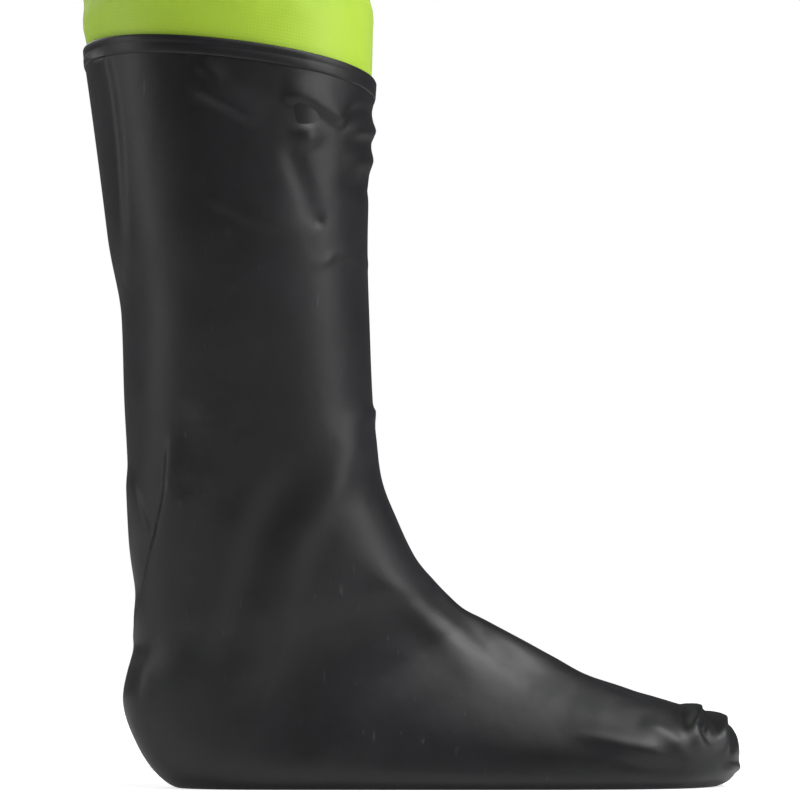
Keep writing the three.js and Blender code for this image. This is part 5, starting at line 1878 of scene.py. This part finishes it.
@dataclass
class Pocket(Sewn):
    """The chest pocket with its zip, and the D-ring's tab."""

    half_width: float = 90.0
    low: float = 1098.0
    high: float = 1268.0
    zip_length: float = 150.0
    tape_half: float = 13.0
    tape_wall: float = 0.8

    def build(self) -> None:
        """Makes the pocket, its stitching and the zip."""
        middle = (self.low + self.high) / 2
        edges = (self.front_at(-self.half_width, middle), self.front_at(self.half_width, middle))
        s, t = np.meshgrid(np.linspace(-1, 1, 92), np.linspace(-1, 1, 80))
        u = (edges[0] + edges[1]) / 2 + (edges[1] - edges[0]) / 2 * s * np.sqrt(1 - 0.09 * np.abs(t) ** 14)
        z = middle + (self.high - self.low) / 2 * t * np.sqrt(1 - 0.09 * np.abs(s) ** 14)
        side, q = self.half(u)
        # The cloth lies a little lower inside its turned hem.
        rim = np.maximum(np.abs(s), np.abs(t))
        inner = -0.45 * (1 - smooth(rim, 0.84, 0.87))
        self.sheet("chest_pocket_cloth", side, q, z, (0.1, 1.95), Finish.PATCH, "pocket_panel", "patch_fabric",
                   "laid", edge=1.0, crown=inner)
        rows: list[Array] = []
        turn = np.linspace(-1, 1, 70)
        level = np.ones_like(turn)
        for inset in (0.955, 0.885):
            for a, b in ((turn, -level), (turn, level), (-level, turn), (level, turn)):
                ru = (edges[0] + edges[1]) / 2 + (edges[1] - edges[0]) / 2 * a * inset
                rz = middle + (self.high - self.low) / 2 * b * inset
                rows.append(self.round_trunk(ru, rz, 2.1))
        dress(Stitching().lay("pocket_stitching", rows, Finish.THREAD.material), Finish.THREAD)
        self.zip()
        self.ring_tab()

    def zip(self) -> None:
        """Makes the zip's tape, teeth and stitching."""
        t = -np.array(joint("zip_open")["axis"])
        w = -np.array(joint("zip_pull_swing")["axis"])
        n = np.cross(w, t)
        points = node_points("pocket_zip")
        centre = sum(d * (float((points @ d).min()) + float((points @ d).max())) / 2
                     for d in (unit(w), unit(t)))
        base = Frame(centre + unit(n) * float((points @ unit(n)).min()), t, n)
        across = np.array([-13, -12.7, -11, -6, -3, -0.6, 0.6, 3, 6, 11, 12.7, 13.0]) / 13 * self.tape_half
        half = self.zip_length / 2
        along = np.linspace(-half, half, 90)
        thick = np.array([0.3, 0.7, 0.8, 0.8, 0.8, 0.55, 0.55, 0.8, 0.8, 0.8, 0.7, 0.3]) * self.tape_wall / 0.8
        outer = np.array([[base.point(a, b, c) for a, c in zip(across, thick)] for b in along])
        inner = np.array([[base.point(a, b, 0.02) for a in across] for b in along])
        uv = np.stack(np.broadcast_arrays(across[None, :], along[:, None]), axis=-1)
        tape = closed_sheet(outer, inner, uv).object("zip_tape", 50)
        dress(tape, Finish.ZIP_TAPE, nodes=["pocket_zip"])
        reach = half - 4
        for name, offset, start in (("right_zip_teeth", -0.75, 0.0), ("left_zip_teeth", 0.75, 0.85)):
            row = [base.point(offset, -reach + start, 1.5), base.point(offset, reach, 1.5)]
            teeth = Stitching(1.7, (0.5, 1.15, 0.75)).lay(
                name, [np.array(row)], Finish.TEETH.material, "GeometryNodeMeshCube", base.n)
            dress(teeth, Finish.TEETH)
        top = self.tape_wall + 0.1
        rows = [np.array([base.point(x, -half + 2, top), base.point(x, half - 2, top)]) for x in (-10.6, 10.6)]
        dress(Stitching(3.4).lay("zip_stitching", rows, Finish.DARK_THREAD.material), Finish.DARK_THREAD)

    def ring_tab(self) -> None:
        """Makes the webbing that holds the D-ring."""
        origin = np.array(joint("d_ring_swing")["pos_m"]) / MM - np.array([Shape.SHIFT, 0, 0])
        u = self.front_at(float(origin[1]), float(origin[2]))
        height = float(origin[2])
        out = self.off_trunk(u, height)
        up = self.round_trunk(u, height + 4) - self.round_trunk(u, height - 4)
        frame = Frame(origin, up, out)
        under = self.layer_gap + self.webbing_wall / 2
        over = under + self.webbing_wall + self.fit
        fold = 1.75 + self.fit + self.webbing_wall / 2
        path = [(self.round_trunk(u, height + mm, under), -out) for mm in (34, 14)]
        path += frame.fold(0, 0, fold, 270, 90)
        path += [(self.round_trunk(u, height + 14, over + 0.6), out),
                 (self.round_trunk(u, height + 32, over), out)]
        tab = self.band("ring_tab", path, Finish.WEBBING, width=25.0)
        dress(tab, Finish.WEBBING, nodes=["d_ring_tab"])
        rows = []
        for a, b in (((-9, 17), (9, 17)), ((9, 17), (9, 29)), ((9, 29), (-9, 29)), ((-9, 29), (-9, 17)),
                     ((-9, 17), (9, 29)), ((9, 17), (-9, 29))):
            lift = over + self.webbing_wall / 2 + 0.1
            ends = [self.round_trunk(u, height + t, lift) + frame.w * w for w, t in (a, b)]
            rows.append(np.array(ends))
        dress(Stitching(3.2).lay("ring_tab_stitching", rows, Finish.DARK_THREAD.material), Finish.DARK_THREAD)


@dataclass
class Belt(Sewn):
    """The belt with its loops, and the tail of its clip."""

    height: float = 1052.0
    lift: float = 4.2  # middle of the webbing above the skin
    fold_radius: float = 3.2
    clip_bar: float = 56.4
    loop_width: float = 20.0
    girth: float = 1120.0  # round the trunk at the belt
    turn_points: int = 220  # points of the belt's line in one turn
    loops: tuple[tuple[str, float], ...] = (
        ("right_front", 0.09), ("left_front", 0.41), ("left_back", 0.6), ("back", 0.75), ("right_back", 0.9),
    )

    def build(self) -> None:
        """Makes the belt, its tail and the loops."""
        frame = Frame.of_buckle("belt_socket", Vector((0, 1, 0)), 3.2)
        start = self.front_at(float(frame.origin[1]) - 14, self.height)
        left = dict(self.loops)["left_front"]
        sewn: Path = [(frame.point(0, -34, self.fold_radius - 1.6), frame.n),
                      (frame.point(0, -12, self.fold_radius - 0.4), frame.n)]
        main = sewn + frame.fold(0, 0, self.fold_radius, 90, -90) + self.run(start, left - 1.0)
        belt = self.band("waist_belt", main, Finish.WEBBING)
        dress(belt, Finish.WEBBING, nodes=["belt_webbing"])
        inner = -frame.n
        end = 0.5 - start
        free = self.run(left + 0.002, end)
        free += [(frame.point(0, self.clip_bar + 0.9, -self.fold_radius), inner)]
        piece = self.band("belt_clip_end", free, Finish.WEBBING)
        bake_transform(piece)
        dress(piece, Finish.WEBBING, move=False)
        tail = frame.fold(self.clip_bar, 0, self.fold_radius, 270, 90)
        tail += [(frame.point(0, self.clip_bar + 16, self.fold_radius - 0.4), frame.n),
                 (frame.point(0, self.clip_bar + 46, self.fold_radius - 4.6), frame.n)]
        dress(self.band("belt_strap_tail", tail, Finish.WEBBING), Finish.WEBBING, "belt_clip",
              ["belt_tail"])
        rows: list[Array] = []
        high = self.lift + self.webbing_wall / 2 + 2 * self.fit
        low = self.layer_gap + self.patch / 2
        for name, u in self.loops:
            path = []
            for mm, rise in ((-33, low), (-27, low), (-23.6, low + 0.4), (-20.5, high + 0.4), (-12, high + 0.7),
                             (0, high + 0.75), (12, high + 0.7), (20.5, high + 0.4), (23.6, low + 0.4),
                             (27, low), (33, low)):
                path.append((self.round_trunk(u, self.height + mm, rise), self.off_trunk(u, self.height + mm)))
            loop = self.band(f"{name}_belt_loop", path, Finish.PATCH, self.loop_width, self.patch)
            dress(loop, Finish.PATCH, nodes=[f"belt_loop_{name}"])
            reach = (self.loop_width / 2 - 2) / self.girth
            for mm in (-30.5, -26.5, 26.5, 30.5):
                rows.append(self.round_trunk(np.linspace(u - reach, u + reach, 8), self.height + mm,
                                             low + self.patch / 2 + 0.12))
        dress(Stitching(2.4).lay("belt_loop_stitching", rows, Finish.THREAD.material), Finish.THREAD)

    def run(self, start: float, end: float) -> Path:
        """Leads the belt round the trunk.

        Args:
            start: place round the trunk.
            end: place where it stops, lower than start where it runs by the back.

        Returns:
            The path.
        """
        count = max(2, round(abs(end - start) * self.turn_points))
        made: Path = []
        for u in np.linspace(start, end, count):
            made.append((self.round_trunk(u, self.height, self.lift), -self.off_trunk(u, self.height)))
        return made


@dataclass
class Braces(Sewn):
    """Both braces: the tabs on the bib, the looped ends, the elastic straps that land on the yoke, and the back
    tab.
    """

    fold_radius: float = 3.2
    clip_bar: float = 56.4
    slider_bar: float = 101.4
    slider_n: float = -0.9
    slider_fold: float = 2.3
    offset: float = 95.0
    shoulder: float = 1510.0
    lean: float = 20.0
    yoke_lean: float = 12.0
    yoke_place: tuple[float, float, float] = (-141.0, 0.0, 1375.0)

    def build(self) -> None:
        """Makes the straps of both sides and the back."""
        slide = Vector(joint("right_clip_release")["axis"])
        frame = Frame.of_buckle("right_brace_socket", slide, 3.2)
        turn = math.radians(self.yoke_lean)
        yoke = Frame(np.array(self.yoke_place), np.array([math.sin(turn), 0, math.cos(turn)]),
                     np.array([-math.cos(turn), 0, math.sin(turn)]))
        rows: list[Array] = []
        for side in Side:
            self.tab(side, frame, rows)
            self.end(side, frame)
            self.strap(side, frame, yoke, rows)
        self.back(yoke, rows)
        dress(Stitching(3.2).lay("strap_stitching", rows, Finish.DARK_THREAD.material), Finish.DARK_THREAD)

    @staticmethod
    def flipped(path: Path, side: Side) -> Path:
        """A right-hand path, mirrored if it is for the left."""
        return [(place * side.mirror, facing * side.mirror) for place, facing in path]

    def box(self, frame: Frame, side: Side, rows: list[Array], low: float, high: float, n: float) -> None:
        """Lays out a box of stitches with a cross, on webbing that lies along a frame.

        Args:
            frame: the webbing's directions.
            side: which brace.
            rows: takes the stitches.
            low: where the box starts along the webbing.
            high: where it ends.
            n: how far above the frame it lies.
        """
        half = self.webbing / 2 - 4
        corners = [(-half, low), (half, low), (half, high), (-half, high)]
        for a, b in ((0, 1), (1, 2), (2, 3), (3, 0), (0, 2), (1, 3)):
            rows.append(np.array([frame.point(w, t, n) * side.mirror for w, t in (corners[a], corners[b])]))

    def tab(self, side: Side, frame: Frame, rows: list[Array]) -> None:
        """Makes the webbing sewn to the bib and folded round the socket's bar.

        Args:
            side: which brace.
            frame: its buckle's.
            rows: takes the stitches.
        """
        u = self.front_at(-self.offset, 1310)
        top = float(self.top(u))
        out = self.off_trunk(u, top)
        under = 2 * self.layer_gap + self.patch + self.webbing_wall / 2
        over = under + self.webbing_wall + self.fit
        path = [(self.round_trunk(u, top + mm, under), -out) for mm in (-46, -30, -12, 1)]
        path += frame.fold(0, 0, self.fold_radius, 270, 458 + self.lean, 12)
        path += [(self.round_trunk(u, top + mm, over), out) for mm in (-4, -14, -28, -43)]
        piece = self.band(f"{side.label}_sewn_tab", self.flipped(path, side), Finish.WEBBING)
        dress(piece, Finish.WEBBING, nodes=[f"{side.label}_brace_tab"])
        up = self.round_trunk(u, top - 14) - self.round_trunk(u, top - 40)
        lying = Frame(self.round_trunk(u, top - 40, over + self.webbing_wall / 2 + 0.12), up, out)
        self.box(lying, side, rows, 1, 24, 0)

    def end(self, side: Side, frame: Frame) -> None:
        """Makes the end of the brace: round the clip's bar, up behind and round the slider's bar.

        Args:
            side: which brace.
            frame: its buckle's.
        """
        path = frame.fold(self.clip_bar, 0, self.fold_radius, 90, 270)
        path += [(frame.point(0, (self.clip_bar + self.slider_bar) / 2, -self.fold_radius), -frame.n)]
        path += frame.fold(self.slider_bar, self.slider_n, self.slider_fold, 270, 450)
        path += [(frame.point(0, self.slider_bar - 18, self.slider_n + self.slider_fold), frame.n)]
        piece = self.band(f"{side.label}_looped_end", self.flipped(path, side), Finish.ELASTIC)
        low, high = (frame.point(0, t, 0) * side.mirror + np.array([Shape.SHIFT, 0, 0]) for t in
                     (self.clip_bar + 8, self.slider_bar - 22))
        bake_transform(piece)
        dress(piece, Finish.ELASTIC, nodes=[f"{side.label}_brace_end"], move=False)

    def strap(self, side: Side, frame: Frame, yoke: Frame, rows: list[Array]) -> None:
        """Makes the elastic from the clip over the shoulder to the yoke.

        Args:
            side: which brace.
            frame: its buckle's.
            yoke: the yoke's.
            rows: takes the stitches.
        """
        on_yoke = 1.2 + self.fit + self.webbing_wall / 2
        across = self.webbing / 2 + 3

        def landing(t: float) -> Array:
            """A place over the yoke, where the strap's line leans in as it comes down."""
            return yoke.point(-(across + 0.3 * (t + 10)) * np.sign(yoke.w[1]), t, on_yoke)

        # It runs straight as far as the slider can be pushed up.
        straight = [(frame.point(0, self.clip_bar + rise, self.fold_radius), frame.n)
                    for rise in (1, 20, 45, 68, 84, 93)]
        path = straight + [
            (np.array([70, -self.offset - 3, self.shoulder - 16]), np.array([0.5, 0, 0.87])),
            (np.array([8, -self.offset - 2, self.shoulder - 0.8]), np.array([0, 0, 1.0])),
            (np.array([-56, -self.offset + 12, self.shoulder - 24]), np.array([-0.55, 0, 0.83])),
            (landing(75) + np.array([-2, 0, 0]), np.array([-0.9, 0, 0.4])),
            (landing(38), yoke.n), (landing(14), yoke.n), (landing(-10), yoke.n),
        ]
        piece = self.band(f"{side.label}_elastic_strap", self.flipped(path, side), Finish.ELASTIC)
        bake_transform(piece)
        dress(piece, Finish.ELASTIC, nodes=[f"{side.label}_brace_strap"], move=False)
        foot = Frame(landing(2), landing(20) - landing(-10), yoke.n)
        self.box(foot, side, rows, -9, 14, self.webbing_wall / 2 + 0.12)

    def back(self, yoke: Frame, rows: list[Array]) -> None:
        """Makes the elastic between the yoke and the back of the bib.

        Args:
            yoke: the yoke's frame.
            rows: takes the stitches.
        """
        form = self.skin.form
        under = 2 * self.layer_gap + self.patch + self.webbing_wall / 2
        on_yoke = 1.2 + self.fit + self.webbing_wall / 2
        out = self.off_trunk(0.75, form.bib_back)
        on_bib = [(self.round_trunk(0.75, form.bib_back + mm, under), out) for mm in (2, -12, -30, -46)]
        link = [(yoke.point(0, t, on_yoke), yoke.n) for t in (-18, -38)]
        middle = ((link[1][0] + on_bib[0][0]) / 2, yoke.n)
        piece = self.band("back_strap", [*link, middle, *on_bib], Finish.ELASTIC)
        dress(piece, Finish.ELASTIC, nodes=["back_tab"])
        up = on_bib[1][0] - on_bib[3][0]
        lying = Frame(on_bib[3][0], up, out)
        self.box(lying, Side.RIGHT, rows, 4, 28, self.webbing_wall / 2 + 0.12)
        self.box(Frame(link[0][0], yoke.t, yoke.n), Side.RIGHT, rows, -16, -3, self.webbing_wall / 2 + 0.12)


# ------------------------------------------------------------------------------------------------ hardware


@dataclass
class Hardware:
    """The moulded and metal pieces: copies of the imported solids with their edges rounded."""

    weld: float = 2e-5  # metres between corners that are one
    pieces: tuple[tuple[str, str, str, Finish, str, float], ...] = (
        # node, name, body, finish, slot, edge radius
        ("right_brace_socket", "right_buckle_socket", "garment", Finish.ACETAL, "acetal", 0.7),
        ("left_brace_socket", "left_buckle_socket", "garment", Finish.ACETAL, "acetal", 0.7),
        ("belt_socket", "belt_buckle_socket", "garment", Finish.ACETAL, "acetal", 0.7),
        ("right_brace_clip", "right_buckle_clip", "right_clip", Finish.ACETAL, "acetal", 0.5),
        ("left_brace_clip", "left_buckle_clip", "left_clip", Finish.ACETAL, "acetal", 0.5),
        ("belt_clip", "belt_buckle_clip", "belt_clip", Finish.ACETAL, "acetal", 0.5),
        ("right_brace_slider", "right_strap_slider", "right_slider", Finish.ACETAL, "acetal", 0.35),
        ("left_brace_slider", "left_strap_slider", "left_slider", Finish.ACETAL, "acetal", 0.35),
        ("back_yoke", "yoke_plate", "garment", Finish.YOKE, "yoke_plate", 0.8),
        ("pocket_zip_slider", "zip_slider_body", "zip_slider", Finish.NICKEL, "steel", 0.25),
        ("pocket_zip_pull", "zip_pull_tab", "zip_pull", Finish.NICKEL, "steel", 0.2),
        ("chest_d_ring", "ring_wire", "d_ring", Finish.NICKEL, "steel", 0.0),
    )

    def build(self) -> None:
        """Makes every piece."""
        for node, name, body, finish, slot, radius in self.pieces:
            piece = self.ring(node, name) if radius == 0 else self.rounded(node, name, radius)
            dress(piece, finish, body, [node])

    def merged(self, node: str) -> bmesh.types.BMesh:
        """Copies a node's mesh with its loose triangles joined at their corners.

        Args:
            node: the node.

        Returns:
            The copy.
        """
        made = bmesh.new()
        made.from_mesh(NODES[node].data)
        bmesh.ops.remove_doubles(made, verts=made.verts, dist=self.weld)
        return made

    @staticmethod
    def piece(made: bmesh.types.BMesh, name: str) -> bpy.types.Object:
        """Makes the object of a worked copy, and frees the copy.

        Args:
            made: the copy.
            name: the piece's name.

        Returns:
            The object.
        """
        mesh = bpy.data.meshes.new(name)
        made.to_mesh(mesh)
        made.free()
        return in_scene(name, mesh)

    def rounded(self, node: str, name: str, radius: float) -> bpy.types.Object:
        """Makes a copy of a node with its sharp edges rounded.

        Args:
            node: the node.
            name: the piece's name.
            radius: millimetres.

        Returns:
            The piece.
        """
        made = self.merged(node)
        bmesh.ops.dissolve_limit(made, angle_limit=math.radians(1.5), verts=made.verts, edges=made.edges)
        piece = self.piece(made, name)
        bevel = piece.modifiers.new("edges", "BEVEL")
        bevel.width = radius * MM
        bevel.segments = 3
        bevel.limit_method = "ANGLE"
        bevel.angle_limit = math.radians(35)
        done = finished(piece)
        done.shade_smooth()
        done.set_sharp_from_angle(angle=math.radians(32))
        return piece

    def ring(self, node: str, name: str) -> bpy.types.Object:
        """Makes a copy of the ring's wire with smooth bends.

        Args:
            node: the node.
            name: the piece's name.

        Returns:
            The piece.
        """
        made = self.merged(node)
        bmesh.ops.join_triangles(made, faces=made.faces, angle_face_threshold=0.6, angle_shape_threshold=3.1)
        piece = self.piece(made, name)
        smoother = piece.modifiers.new("smooth", "SUBSURF")
        smoother.levels = smoother.render_levels = 2
        finished(piece).shade_smooth()
        return piece


# ------------------------------------------------------------------------------------------------ assembly


def main() -> None:
    """Builds the waders round the frame and reports each piece."""
    logging.basicConfig(level=logging.INFO, format="%(message)s")
    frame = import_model()
    NODES.update(frame["nodes"])
    JOINTS.extend(frame["joints"])
    last = Last()
    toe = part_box("right_sock")[1].x / MM
    Shape.SHIFT = toe - last.stations[-1][2]
    studio = Studio()
    studio.build()
    latex = Latex().build()
    sock = Sock(last, studio.eye_point())
    for side in Side:
        for piece in sock.build(side, latex):
            LOG.info("%s: %d faces", piece.name, len(piece.data.polygons))
    skin = Skin(Form())
    for part in (Panels(skin), Pocket(skin), Belt(skin), Braces(skin), Hardware()):
        part.build()

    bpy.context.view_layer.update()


if __name__ == "__main__":
    main()
